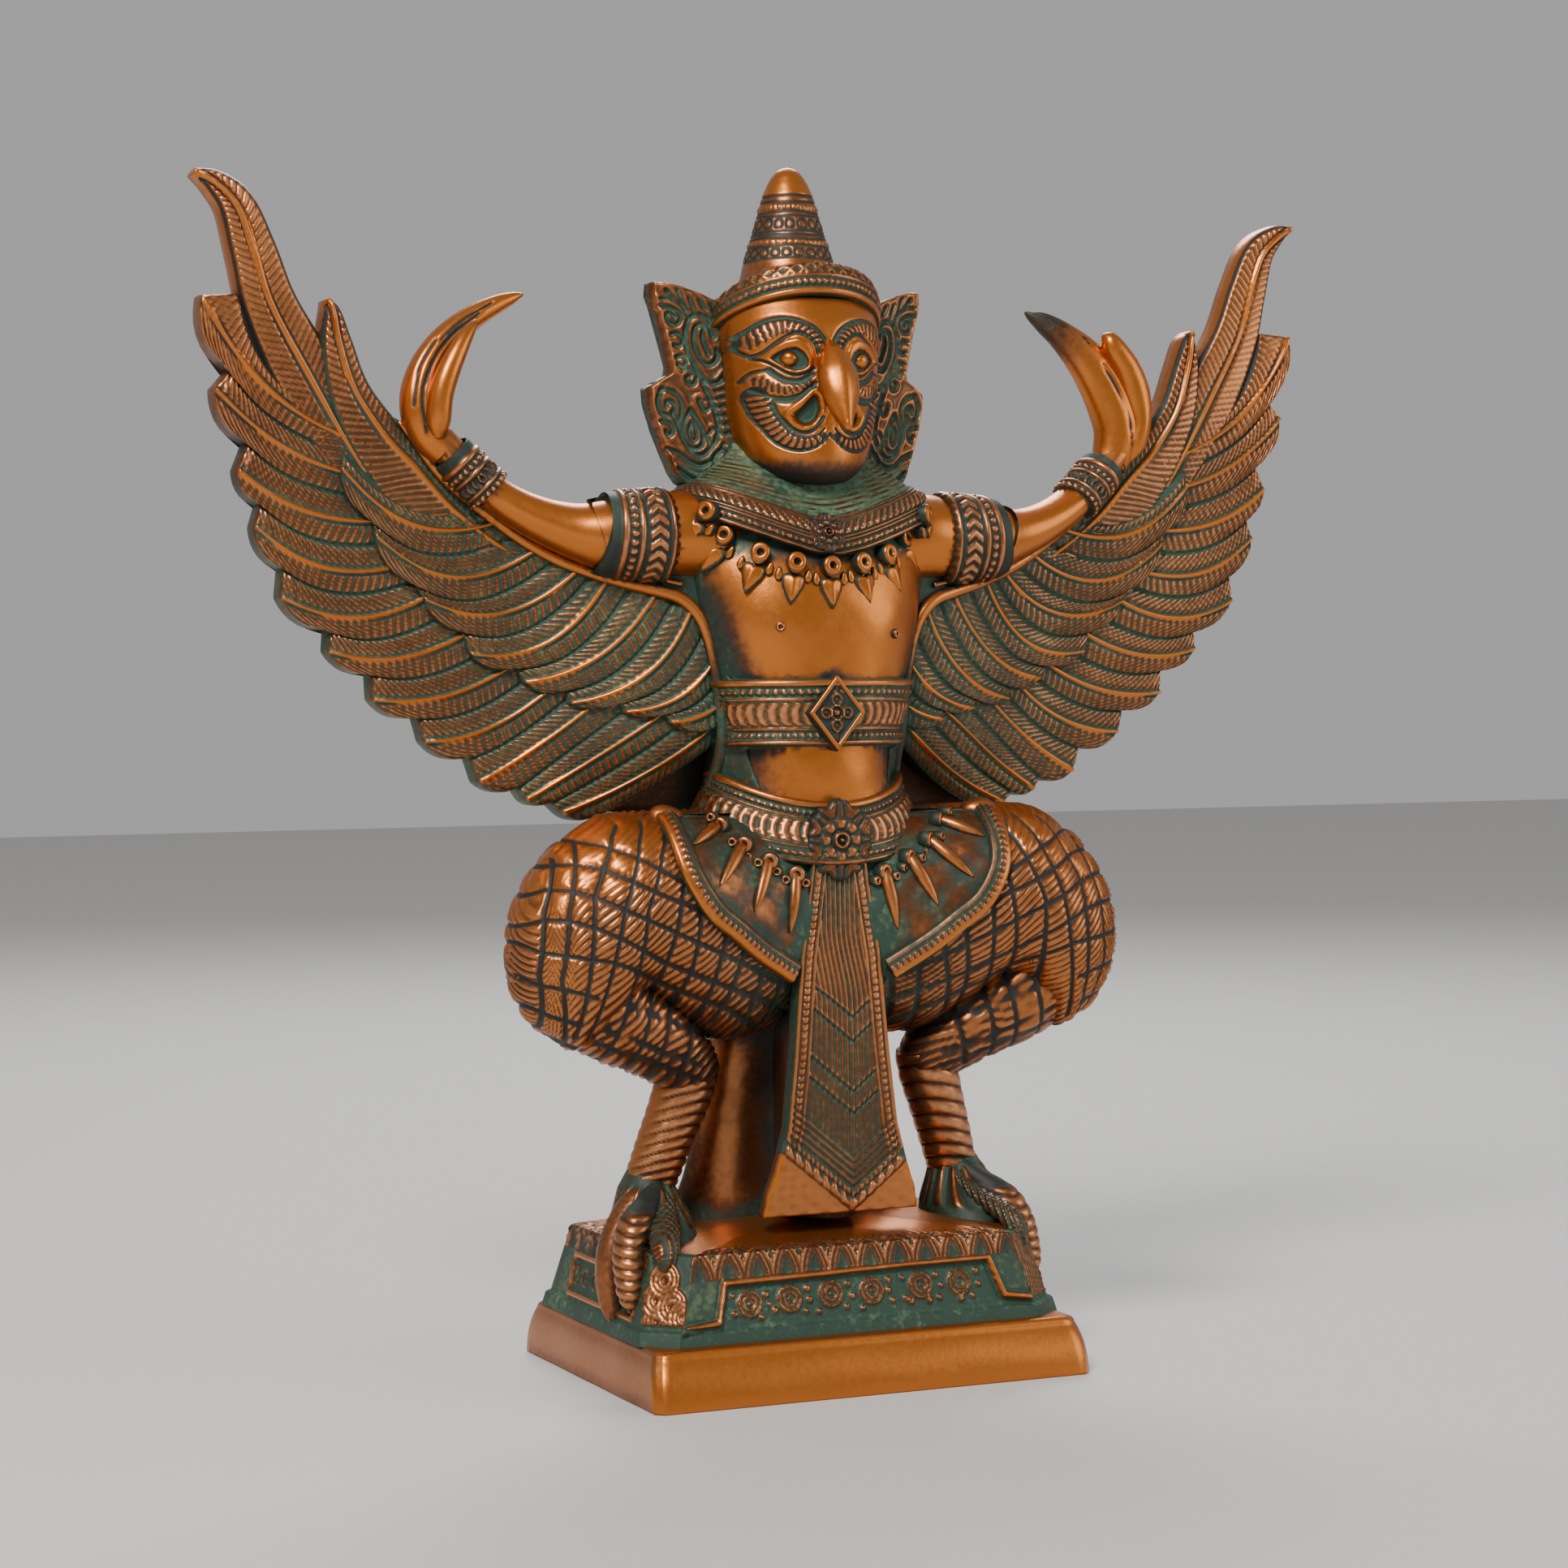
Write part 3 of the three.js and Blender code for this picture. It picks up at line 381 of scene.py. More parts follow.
def angles(cols, bias=0.0):
    # Even turns from the back round by the left, the front at the middle; bias crowds the front
    turn = np.linspace(-np.pi, np.pi, cols, endpoint=False)
    return turn - bias * np.sin(turn)


def evenly(rows, key, count, smooth=True):
    # Rows of numbers at even steps of one of their columns
    rows = np.asarray(rows, float)
    column = rows[:, key] * np.sign(rows[-1, key] - rows[0, key])
    spots = np.interp(np.linspace(0, 1, count) * (column[-1] - column[0]), column - column[0],
                      np.arange(len(rows)))
    if smooth:
        return along(rows, spots / (len(rows) - 1))
    return np.stack([np.interp(spots, np.arange(len(rows)), column) for column in rows.T], -1)


def ovals(rows, count, cols, bias=0.0, dip=0.0, bend=1.5, smooth=True):
    # Upright stack of ovals from rows of height, middle y, half width and half depth; the
    # front of each is lowered by dip times its nearness to the front
    line = evenly(rows, 0, count, smooth)
    turn = angles(cols, bias)[None]
    x = line[:, 2:3] * np.sin(turn)
    y = line[:, 1:2] - line[:, 3:4] * np.cos(turn)
    z = line[:, 0:1] - dip * np.maximum(np.cos(turn), 0) ** bend
    return np.stack([x, y, z], -1)


def vees(rows, count, cols):
    # Rings that dip to a V in front, squarer than ovals: rows of side height, middle y, half
    # width, half depth and dip; the dip falls off evenly with x
    line = evenly(rows, 0, count, False)
    turn = angles(cols, 0.4)[None]
    ahead = np.sign(np.cos(turn)) * np.abs(np.cos(turn)) ** 0.68
    dip = (1 - np.sqrt(np.sin(turn) ** 2 + 0.05)) * (np.cos(turn) > 0)
    return np.stack([line[:, 2:3] * np.sin(turn), line[:, 1:2] - line[:, 3:4] * ahead,
                     line[:, 0:1] - line[:, 4:5] * dip], -1)


def limb(rows, count, cols, bias=0.0, lift=(0, 0, 1), heading=None):
    # Rings square to a path of rows x, y, z, side half and upper half: each point is the path
    # plus cos(turn) to the side and sin(turn) along lift. With a heading all rings stand square
    # to that, and crowd where their size changes
    rows = np.asarray(rows, float)
    if rows.shape[1] == 4:
        rows = np.column_stack([rows, rows[:, 3]])
    steps = np.diff(rows if heading else rows[:, :3], axis=0)
    reach = np.r_[0, np.cumsum(np.linalg.norm(steps, axis=1))]
    line = evenly(np.column_stack([reach, rows]), 0, count)[:, 1:]
    ahead = np.gradient(line[:, :3], axis=0) if heading is None else np.zeros((count, 3)) + heading
    ahead /= np.linalg.norm(ahead, axis=1, keepdims=True)
    side = np.cross(ahead, lift)
    side /= np.linalg.norm(side, axis=1, keepdims=True)
    over = np.cross(side, ahead)
    turn = angles(cols, bias)[None, :, None]
    return (line[:, None, :3] + side[:, None] * line[:, None, 3:4] * np.cos(turn)
            + over[:, None] * line[:, None, 4:5] * np.sin(turn))


def corners(outline, counts):
    # Ring through the corners of each row's outline, with a fixed number of points on each side
    outline = np.asarray(outline, float)
    after = np.roll(outline, -1, 1)
    share = np.concatenate([np.arange(n) / n for n in counts])
    side = np.repeat(np.arange(len(counts)), counts)
    ring = outline[:, side] + (after - outline)[:, side] * share[None, :, None]
    return ring, side, share


def sheet(front, back, rows=5):
    # Closed shell from a front sheet of points: round its side edges and back along a plain sheet
    turn = front[:, ::-1][:, ::rows].copy()
    turn[..., 1] = back if np.ndim(back) == 0 else np.asarray(back)[:, None]
    left, right = front[:, -1:].copy(), front[:, :1].copy()
    left[..., 1] = left[..., 1] * 0.4 + turn[:, :1, 1] * 0.6
    right[..., 1] = right[..., 1] * 0.4 + turn[:, -1:, 1] * 0.6
    return np.concatenate([front, left, turn, right], 1)


def ringLines(distance, marks, half):
    # Sum of round cords at given distances from a middle
    return sum(mound(distance - mark, half) for mark in marks)


# Plinth

plinth = {
    "middle": -figureBack,
    "base": (87.7, 71.7), "baseHeight": 21, "sideLean": 3.4, "faceLean": 8.4, "rounding": 2.4,
    "tierFoot": (84, 58), "tierTop": 52, "tierLean": (7.5, 8), "dome": 6.4,
    "frontCut": 12, "rearCut": 3,
    "friezeFoot": 43.9, "friezeRise": 13, "petalPitch": 11.4,
    "moulding": [(-82, 25.5), (-57, 28.2), (-53.4, 42), (-20, 42.6), (20, 43.6), (53.8, 43.8),
                 (58.8, 29.8), (82, 26.4)],
    "scales": [(4, 29.5), (10.5, 27.5), (3, 36.5), (9, 34.5), (14, 31), (5, 43.5)],
    "rosettes": [(-44.3, 34.2), (-28.3, 34.8), (-11.7, 35.4), (4.8, 35.2), (24.9, 35.8), (40.9, 35.8)],
    "beads": [(-51, 37.5), (-50.5, 31), (-37.6, 37), (-34.6, 31.4), (-36.5, 33.6), (-40, 29.2), (-21, 38),
              (-20.4, 34), (-22.3, 30.2), (-17, 29.6), (-4.6, 38.4), (-3.2, 34), (-5.8, 30.4), (0.6, 29.4),
              (12, 38.6), (11.6, 35), (13, 31.2), (17.6, 38.8), (18.4, 31.5), (20.6, 30.4), (31.4, 39),
              (33.4, 35.2), (32, 31), (28, 30.2), (48.3, 39.2), (48.8, 34.6), (46, 30.6), (41, 29.8)],
}


def frieze(s, z, foot, rise):
    # Row of pointed leaves, each of three nested arches, with crossing strokes behind their tips:
    # an arch's half width falls from its foot to its tip with the height share to the 1.7
    pitch = plinth["petalPitch"]
    cell = np.floor(s / pitch)
    u = (s - (cell + 0.5) * pitch + 0.5 * np.sin(cell * 3.1)) * (1 + 0.06 * np.sin(cell * 5.3))
    v = (z - foot) / rise
    inside = fade(v, -0.03, 0.03)
    relief = np.zeros(s.shape)
    for size, high in ((5.9, 1.0), (3.9, 0.78), (2.0, 0.55)):
        edge = size * (1 - np.clip(v / high, 0, 1) ** 1.7)
        line = np.abs(np.abs(u) - edge)
        relief += np.where(v < high + 0.05, furrow(line, 0.75), 0) * 0.8
        relief -= np.where((np.abs(u) < edge) & (v < high), 0.25, 0)
    outer = fade(np.abs(u) - 5.9 * (1 - np.clip(v, 0, 1) ** 1.7), 0.4, 1.2)
    strokes = np.cos((s * 0.92 + (z - foot) * np.where(u > 0, -0.62, 0.62)) * 2 * np.pi / 2.5)
    relief += outer * strokes * 0.55
    ragged = 1.12 + 0.14 * np.sin(s * 1.9) + 0.09 * np.sin(s * 4.7)
    return relief * inside * (1 - fade(v, ragged, ragged + 0.18)), inside * (1 - fade(v, ragged,
                                                                                      ragged + 0.2))


def panelRelief(x, z):
    # Sunk panel under the moulding: rosettes of three rings, with balls around them
    path = np.array(plinth["moulding"])
    under = np.interp(x, path[:, 0], path[:, 1]) - z
    sunk = fade(under, 0.6, 1.6)
    distance = nearest(path, x, z)[0]
    moulding = mound(distance, 1.35) + 0.25 * furrow(distance, 0.5)
    relief = -0.9 * sunk + 1.35 * moulding - 0.5 * furrow(distance - 1.9, 0.5)
    for k, (middleX, middleZ) in enumerate(plinth["rosettes"]):
        r = np.hypot(x - middleX, z - middleZ)
        relief += (1.0 - 0.12 * (k == 5)) * ringLines(r, (0, 2.35, 4.3), 0.85) * (r < 5.3)
    for k, (middleX, middleZ) in enumerate(plinth["beads"]):
        r = np.hypot(x - middleX, z - middleZ)
        relief += 1.15 * mound(r, 1.25 + 0.35 * np.sin(k * 2.4) ** 2)
    rough = 0.22 * np.sin(x * 3.1 + 1.3 * np.sin(z * 2.2)) * np.sin(z * 3.7 + np.sin(x * 1.7))
    relief += rough * sunk - 0.5 * furrow(x - 16.2, 0.35) * sunk
    return relief, moulding, sunk


def chamfered(halfX, halfY, front, rear, counts):
    # Ring round each level's rectangle with its four corners cut, and the side of each point:
    # 0 the front, then round by the figure's left
    places = ((-1, -1, front, 0), (1, -1, front, 0), (1, -1, 0, front), (1, 1, 0, rear),
              (1, 1, rear, 0), (-1, 1, rear, 0), (-1, 1, 0, rear), (-1, -1, 0, front))
    outline = [np.stack([sx * (halfX - a), sy * (halfY - b)], -1) for sx, sy, a, b in places]
    return corners(np.stack(outline, 1), counts)


def plinthShells():
    # Base with a rounded upper edge, and on it a leaning tier with carved walls and a low dome
    p = plinth
    height = np.r_[0, 0.4, np.linspace(1, p["baseHeight"] - p["rounding"], 16)]
    halfX = p["base"][0] - p["sideLean"] * (height / p["baseHeight"]) ** 2.2
    halfY = p["base"][1] - p["faceLean"] * (height / p["baseHeight"]) ** 2.2
    halfX[0], halfY[0] = halfX[0] - 0.7, halfY[0] - 0.7
    turn = np.linspace(0, np.pi / 2, 7)[1:]
    height = np.r_[height, height[-1] + p["rounding"] * np.sin(turn), p["baseHeight"], p["baseHeight"]]
    inX = halfX[-1] - p["rounding"] * (1 - np.cos(turn))
    inY = halfY[-1] - p["rounding"] * (1 - np.cos(turn))
    halfX, halfY = np.r_[halfX, inX, inX[-1] - 3, 60], np.r_[halfY, inY, inY[-1] - 3, 40]
    ring, side, share = chamfered(halfX, halfY, 3, 3, (50, 4, 40, 4, 40, 4, 40, 4))
    z = np.broadcast_to(height[:, None], ring.shape[:2])
    rings = np.stack([ring[..., 0], ring[..., 1] + p["middle"], z], -1)
    worn = 0.12 * np.sin(ring[..., 0] * 0.11 + 1) * np.sin(z * 0.31) + 0.1 * np.sin(ring[..., 1] * 0.14)
    sides = fade(np.abs(ring[..., 0]), 82.5, 84.5) * (np.abs(ring[..., 1]) < 66)
    foot = 1 - fade(z, 1.5, 6)
    base = shell(rings, worn * (height < 20)[:, None], 0.35 - 0.25 * foot - 0.1 * sides,
                 0.95 - 0.4 * sides, 0.12)

    level = np.linspace(p["baseHeight"] - 0.6, p["tierTop"], 58)
    lean = (level - p["baseHeight"]) / (p["tierTop"] - p["baseHeight"])
    halfX = p["tierFoot"][0] - p["tierLean"][0] * lean
    halfY = p["tierFoot"][1] - p["tierLean"][1] * lean
    band = 1.4 * (1 - fade(level, 25.6, 26.6))
    halfX, halfY = halfX + band, halfY + band
    dome = np.r_[np.linspace(0.012, 0.13, 12), np.linspace(0.18, 0.97, 9)]
    level = np.r_[level, p["tierTop"] + p["dome"] * (1 - (1 - dome) ** 2)]
    halfX = np.r_[halfX, halfX[-1] * (1 - dome) + 4 * dome]
    halfY = np.r_[halfY, halfY[-1] * (1 - dome) + 3 * dome]
    cutF = np.minimum(p["frontCut"], halfX * 0.3)
    cutR = np.minimum(p["rearCut"], halfX * 0.1)
    ring, side, share = chamfered(halfX, halfY, cutF, cutR, (232, 28, 56, 4, 30, 4, 56, 28))
    x, y = ring[..., 0], ring[..., 1]
    z = np.broadcast_to(level[:, None], x.shape)
    rings = np.stack([x, y + p["middle"], z], -1)
    s = np.where(np.isin(side, (0, 4)), x, np.where(np.isin(side, (2, 6)), y, 0))
    wall = fade(z, 26.8, 27.6)
    inward = np.clip(p["tierFoot"][0] - p["tierLean"][0] - halfX, 0, 60)[:, None]
    climb = z + 0.75 * inward * (z > p["tierTop"])  # height that goes on growing over the dome
    relief, inFrieze = frieze(s, climb, p["friezeFoot"] + 0.012 * s * (side == 0), p["friezeRise"])
    onWall = np.isin(side, (0, 2, 4, 6))
    relief, inFrieze = relief * onWall, inFrieze * onWall
    front = (side == 0)[None]
    panel, moulding, sunk = panelRelief(x, z)
    relief = relief + np.where(front, panel, 0) * (1 - inFrieze)
    # the side and back walls: a plain sunk panel in a cord
    reach = np.where(np.isin(side, (2, 6)), 34, 60)
    inner = np.minimum(reach - np.abs(s), np.minimum(z - 28, 42.5 - z))
    plain = np.isin(side, (2, 4, 6))
    plainSunk = fade(inner, 0.8, 1.8) * plain
    plainCord = mound(inner, 1.2) * plain
    knobs = np.hypot((s + 5) % 10 - 5, z - 35.4)
    relief = relief - 0.8 * plainSunk + 1.1 * plainCord
    relief += plainSunk * np.isin(side, (2, 6)) * 0.9 * ringLines(knobs, (0, 3.2), 0.95)
    # front corners: overlapping scales at the figure's right hand, long bent strokes at its left
    spot = np.where(side == 1, share, 0.5) * 17
    strokes = np.cos((spot - 0.16 * (z - 40) - 2.2 * np.sin((z - 27) / 8)) * 2 * np.pi / 2.6)
    body = fade(z, 27.4, 28.4) * (1 - fade(z, 50, 53))
    relief += np.where(side == 1, strokes * 0.8 * body, 0)
    spot = np.where(side == 7, share, 0) * 17 - 2
    scales = np.zeros(x.shape)
    for middle, middleZ in p["scales"]:
        r = np.hypot((spot - middle) * 1.05, z - middleZ)
        scales = np.where(r < 6.4, 0.5 + 0.8 * ringLines(r, (2.2, 4.0, 5.7), 0.75), scales)
    relief += np.where(side == 7, scales * body, 0)
    onTop = fade(climb, 53, 56) * (1 - inFrieze)
    plainBand = 1 - wall
    tone = np.clip((relief + 0.55 * np.where(front, sunk, 0) + 0.5 * plainSunk) / 0.75, -1, 1)
    tone = tone - 0.3 * (1 - onTop)
    tone = tone * (1 - onTop) + 0.25 * onTop
    tone = tone * (1 - plainBand) - 0.45 * plainBand + 0.22 * inFrieze
    cordShare = np.clip(np.where(front, moulding, 0) + plainCord, 0, 1)
    polish = 0.14 + 0.73 * onTop + 0.6 * cordShare * (1 - inFrieze) + 0.12 * inFrieze
    green = 0.92 - 0.52 * onTop - 0.2 * inFrieze
    rear = fade(y, 20, 50)
    tier = shell(rings, relief * (1 - 0.2 * rear), tone, np.clip(polish, 0, 1), np.clip(green, 0, 1))
    return [base, tier]


castPiece("plinth", plinthShells())

# Legs

leg = {
    "grooveHalf": 0.6, "grooveDepth": 0.85,
    "hatchPitch": 2.4, "calfPitch": 3.3, "hatchDepth": 0.42, "hatchTurn": 0.62,
    "levels": [[(104, 204), (93.4, 201.9), (81.2, 196.9), (69.9, 190.4), (55, 184), (40, 178)],
               [(116, 193), (110.3, 194.9), (104.6, 195.5), (97.4, 194.3), (87.3, 189.8), (71.5, 182.4),
                (59.6, 178.1), (40, 169), (20, 160)],
               [(122, 182), (118.7, 184), (113.9, 186.4), (107.3, 185.9), (99.7, 184), (88.1, 178.4),
                (71.7, 171), (51.5, 162), (30, 152.5), (10, 145)],
               [(124, 172), (120.7, 173.7), (114.7, 175.7), (108.4, 175.2), (99.5, 172.7), (89.9, 168.1),
                (71.9, 158.8), (53.3, 151.3), (23.2, 140.2), (5, 133)],
               [(124, 168), (118, 164), (110.4, 162.7), (92.9, 160), (80, 155), (62, 147), (45, 140.5),
                (26, 131)],
               [(124, 156), (118, 152), (108, 150), (98, 147)], [(121, 145), (112, 140), (102, 137)],
               [(114, 134), (104, 129), (96, 126)]],
    "calfLevels": [[(122, 156), (118.3, 153.6), (101.1, 150.1), (83.2, 143.5), (58.8, 134.2), (44, 128)],
                   [(119, 148), (114.6, 145.8), (102.7, 139.7), (79.5, 129.6), (50.5, 118.7)],
                   [(108, 136), (95, 130), (76, 123), (50, 113)]],
    "crosses": [[(109, 197), (115.5, 178), (117.5, 156), (114, 136)],
                [(101.2, 202.6), (107.9, 178.8), (110.7, 153.6), (107, 136), (103, 124)],
                [(86, 209), (89, 205.6), (99.1, 183.4), (101.8, 151.1), (103, 132)],
                [(76, 210), (80.1, 203), (89.3, 178.5), (92.9, 159.2), (98.2, 131.2)],
                [(66, 209), (72.1, 199.3), (80.5, 178.2), (83.2, 144.4), (90, 122)],
                [(56, 208), (66.2, 184.9), (70.7, 161.3), (73.6, 141.5), (79.1, 118)],
                [(48, 205), (59, 177.4), (61.4, 154.7), (66, 134), (70, 116)],
                [(38, 200), (48.6, 167.9), (51.3, 153.8), (55, 128), (59, 114)],
                [(30, 190), (40.9, 160.3), (47.8, 135.1)],
                [(24, 180), (31.5, 154.8), (36.1, 127)], [(14, 175), (22, 150), (26, 128)]],
}


def quilted(rings, levels, crosses, seedTurn, hatch, pitch):
    # Quilted skin: crossing grooves along measured lines, and slanted cuts that fade at the
    # grooves: a cosine of the distance across the cuts
    x, y, z = (rings[..., k] for k in range(3))
    p = leg
    groove = np.zeros(x.shape)
    away = np.full(x.shape, 1e9)
    for path in levels + crosses:
        distance = nearest(path, x, z)[0]
        groove = np.maximum(groove, furrow(distance, p["grooveHalf"]))
        away = np.minimum(away, distance)
    wander = 0.35 * np.sin(x * 0.21 + seedTurn) + 0.3 * np.sin(z * 0.17 - seedTurn)
    outside = fade(x, 106, 118)  # there the cuts turn with the skin, towards the back
    across = hatch * (x + 0.35 * y - 1.2 * outside * (y + 18)) * p["hatchTurn"]
    across = across + z * np.sqrt(1 - p["hatchTurn"] ** 2)
    wave = np.cos((across / pitch + wander) * 2 * np.pi)
    cuts = fade(away, 0.7, 1.3) * wave * fade(-y, -8, 4)  # none at the back
    # the outer top of the knee is rubbed and its cuts nearly gone
    patches = 0.5 + 0.5 * np.sin(x * 0.31 + seedTurn * 2) * np.sin(z * 0.37 + seedTurn)
    rubbed = fade(x * 0.5 + z, 225, 250) * 0.75 * patches
    pillow = 0.5 * fade(away, 0, 3.2)
    relief = pillow - p["grooveDepth"] * groove + p["hatchDepth"] * cuts * (1 - rubbed)
    tone = 0.17 + 0.6 * cuts * (1 - rubbed) - 1.35 * groove + 0.25 * rubbed
    return relief, np.clip(tone, -1, 1)


def legShells(ringPitch, seedTurn, hatch):
    # Thigh across to the knee, calf back under it, ringed shin, and the heel. The two legs
    # differ in the pitch of their rings, the wander of their cuts, and which way these slant
    thigh = limb([(2, -6, 176, 27, 34), (18, -7, 172, 31, 41), (38, -9, 170, 33.5, 43),
                  (57, -13.5, 174.5, 33, 38.5), (75, -17, 179.5, 31.5, 33.5), (88, -18.5, 173.5, 30, 38.5),
                  (98, -18.5, 166.5, 27.5, 40), (106, -18.5, 165.4, 25, 36), (113, -18.5, 164, 20.8, 29.4),
                  (118, -18.5, 163.4, 15.6, 22.4), (121.4, -18.5, 163, 9.6, 14.6),
                  (123.2, -18.5, 163, 2, 3)],
                 184, 144, bias=0.5, heading=(1, 0, 0))
    relief, tone = quilted(thigh, leg["levels"], leg["crosses"], seedTurn, hatch, leg["hatchPitch"])
    x, z = thigh[..., 0], thigh[..., 2]
    inner = 1 - fade(x, 20, 70)
    green = np.clip(0.3 + 0.35 * inner + 0.2 * fade(z, 196, 212), 0, 1)
    polish = 0.6 - 0.4 * inner + 0.15 * fade(x * 0.5 + z, 222, 250)
    shells = [shell(thigh, relief, tone, polish, green)]
    calf = limb([(119, -17, 166, 3, 4), (114.5, -17, 161, 14, 12), (107, -17, 157.5, 19, 17),
                 (96, -16, 149.5, 20.5, 18.5), (83, -15, 139.8, 20, 18.5), (68, -13, 131, 17.5, 16),
                 (56, -10, 122.5, 14.5, 13.5), (49, -8, 115.5, 11.6, 10.8), (47, -7, 112, 9, 8)],
                112, 86, bias=0.5)
    relief, tone = quilted(calf, leg["calfLevels"], leg["crosses"][:-3], seedTurn + 1, hatch,
                           leg["calfPitch"])
    x, z = calf[..., 0], calf[..., 2]
    # painted shade along the crease where the calf meets the thigh
    pit = nearest([(92, 161), (74, 155), (58, 150), (40, 139)], x, z)[0]
    tone = tone - 0.9 * furrow(pit, 4)
    shells.append(shell(calf, relief, np.clip(tone, -1, 1), 0.55 - 0.3 * (1 - fade(z, 118, 128)), 0.35))
    # shin: a stack of sloping rings, each a round cushion between two narrow cuts
    shin = limb([(48, -8, 120, 9.8, 10.4), (51, -7, 110, 10.6, 11), (55, -5.2, 98, 9.9, 10.2),
                 (59.5, -3, 85, 9.2, 9.6), (63, -1.2, 74, 8.6, 9.2), (65.5, -0.6, 66, 9.4, 10.4)],
                130, 36, bias=0.3, lift=(1, 0, 0.3))
    x, y, z = (shin[..., k] for k in range(3))
    height = z + 0.16 * x + 0.22 * y
    spot = (height - 70) / ringPitch * (1 - 0.0035 * (height - 90))
    cushion = mound((spot % 1) - 0.5, 0.5)
    outer = fade(x - 62 + (z - 85) * 0.34, 4.0, 8.5)
    low = 1 - fade(z, 69, 74)
    relief = 1.15 * cushion * (1 - 0.8 * outer) * (1 - low)
    tone = -0.9 + 1.75 * cushion
    tone = tone * (1 - outer) + 0.3 * outer
    shells.append(shell(shin, relief, np.clip(tone, -1, 1), 0.36 + 0.3 * outer, 0.35))
    # heel and instep spreading over the plinth, with short bent strokes
    pad = ovals([(80, -1, 6, 7), (74, -1.5, 9.6, 10.2), (67, -3, 12, 15), (59.5, -6, 14.8, 20.5),
                 (53, -8, 16, 23)], 34, 100) + np.array([64.5, 0, 0])
    x, y, z = (pad[..., k] for k in range(3))
    turn = np.arctan2(x - 64.5, -(y + 4))
    strokes = np.cos(turn * 13 + 0.18 * (z - 60)) * fade(z, 57.5, 60) * (1 - fade(z, 71, 75))
    front = fade(-y, -8, 4)
    relief = 0.75 * strokes * (0.4 + 0.6 * front)
    shells.append(shell(pad, relief, np.clip(strokes * 0.9 - 0.25, -1, 1), 0.25, 0.75))
    return shells


def toeShells():
    # Three toes over the plinth's edge: the hind one long and smooth, the middle one ringed, the
    # inner one cut across both ways
    hind = limb([(60, -2, 78, 5, 4), (67, -5, 70.5, 6.4, 5.5), (75, -7.5, 62, 6.6, 6),
                 (80.5, -9.5, 52, 6.4, 6.2), (82.6, -11, 42, 6, 6), (82.8, -12.6, 32, 5, 5),
                 (82, -14, 26, 3.4, 3.4), (81.5, -15, 23, 1, 1)], 70, 32, bias=0.2, lift=(1, 0, 0))
    x, y, z = (hind[..., k] for k in range(3))
    notch = np.cos((z + 0.5 * y) * 2 * np.pi / 5.2) ** 8 * fade(y, -12, -5) * (1 - fade(z, 60, 66))
    shells = [shell(hind, -0.45 * notch, 0.15 - 1.1 * notch, 0.45, 0.35)]
    toe = limb([(63, -7, 72, 5, 4), (69, -13, 66, 6.4, 5), (75.5, -19, 60.5, 6.6, 6),
                (79.5, -24, 52, 6.2, 6),
                (80.6, -27.5, 43, 5.4, 5.6), (81, -29.5, 36, 4.2, 4.6), (81, -30.5, 31, 1.2, 1.4)],
               84, 34, bias=0.3, lift=(1, 0, 0))
    x, y, z = (toe[..., k] for k in range(3))
    cushion = mound(((z - 0.25 * y) / 3.6) % 1 - 0.5, 0.5) * (1 - fade(z, 62, 68))
    shells.append(shell(toe, 1.1 * cushion, np.clip(-0.8 + 1.6 * cushion, -1, 1), 0.32, 0.55))
    inner = limb([(62, -9, 69, 5, 3), (65.6, -20, 62, 6, 3.6), (68.6, -30, 58.4, 6, 4),
                  (71, -37, 55, 5.4, 4.2), (72, -40.6, 49.6, 4.4, 3.8), (72.4, -42, 45.8, 1.8, 1.8)],
                 70, 40, bias=0.3, lift=(0.6, -0.5, 0.6))
    x, y, z = (inner[..., k] for k in range(3))
    hatch = np.cos((x - 0.5 * y + 0.4 * z) * 2 * np.pi / 2.6) + 0.6 * np.cos((0.7 * y + z) * 2
                                                                             * np.pi / 2.3)
    shells.append(shell(inner, 0.42 * hatch, np.clip(0.5 * hatch - 0.1, -1, 1), 0.2, 0.85))
    return shells


castPiece("legLeft", legShells(4.7, 0.6, -1))
castPiece("legRight", legShells(3.3, 2.0, 1), mirrored=True)
castPair("toes", toeShells())

# Tail and drape

drape = {
    "halves": [(194, 11), (192, 11.5), (158, 16.5), (122, 19.5), (95, 22.5), (80, 26.5), (70, 30),
               (62.5, 31.2)],
    "front": [(194, -36.4), (150, -37.4), (95, -37.8), (80, -37.4), (70, -36.6), (62.5, -35.6)],
    "thickness": 9,
    "apex": 4.2, "slope": 0.82, "flutePitch": 2.15,
    "cuts": (139.4, 130.3, 111.5, 103.3),
    "hemTop": 88.5,
}


def tailShells():
    # Spreading stem of the tail with long swells and streaks, cosines of x, and a hidden core
    rings = ovals([(50, 20, 54, 23), (61, 16, 49, 19), (74, 14, 44, 17), (90, 13, 40, 16),
                   (116, 12, 34, 16),
                   (140, 8, 31, 20), (170, 2, 30, 24)], 44, 90, bias=0.25)
    x, y, z = (rings[..., k] for k in range(3))
    swell = 1.2 * np.cos(x * 0.21) * (1 - fade(z, 120, 150))
    back = fade(y, 16, 26)
    streak = 0.5 * np.cos(x * 2 * np.pi / 6) * back
    grain = 0.18 * np.sin(z * 1.6 + np.sin(x * 0.8)) * fade(z, 70, 110)
    tone = 0.12 + 0.25 * np.cos(x * 0.21 + 0.2) - 0.5 * fade(z, 112, 140) * (1 - back) + 0.6 * streak
    tail = shell(rings, swell + grain + streak, tone - 0.5 * (1 - fade(z, 58, 68)), 0.42,
                 0.4 + 0.3 * (1 - fade(z, 60, 75)))
    stem = ovals([(60, -10, 14, 24), (90, -10, 13, 24), (150, -10, 14, 24)], 12, 40)
    return [tail, shell(stem, 0.0, 0.0, 0.3, 0.5)]


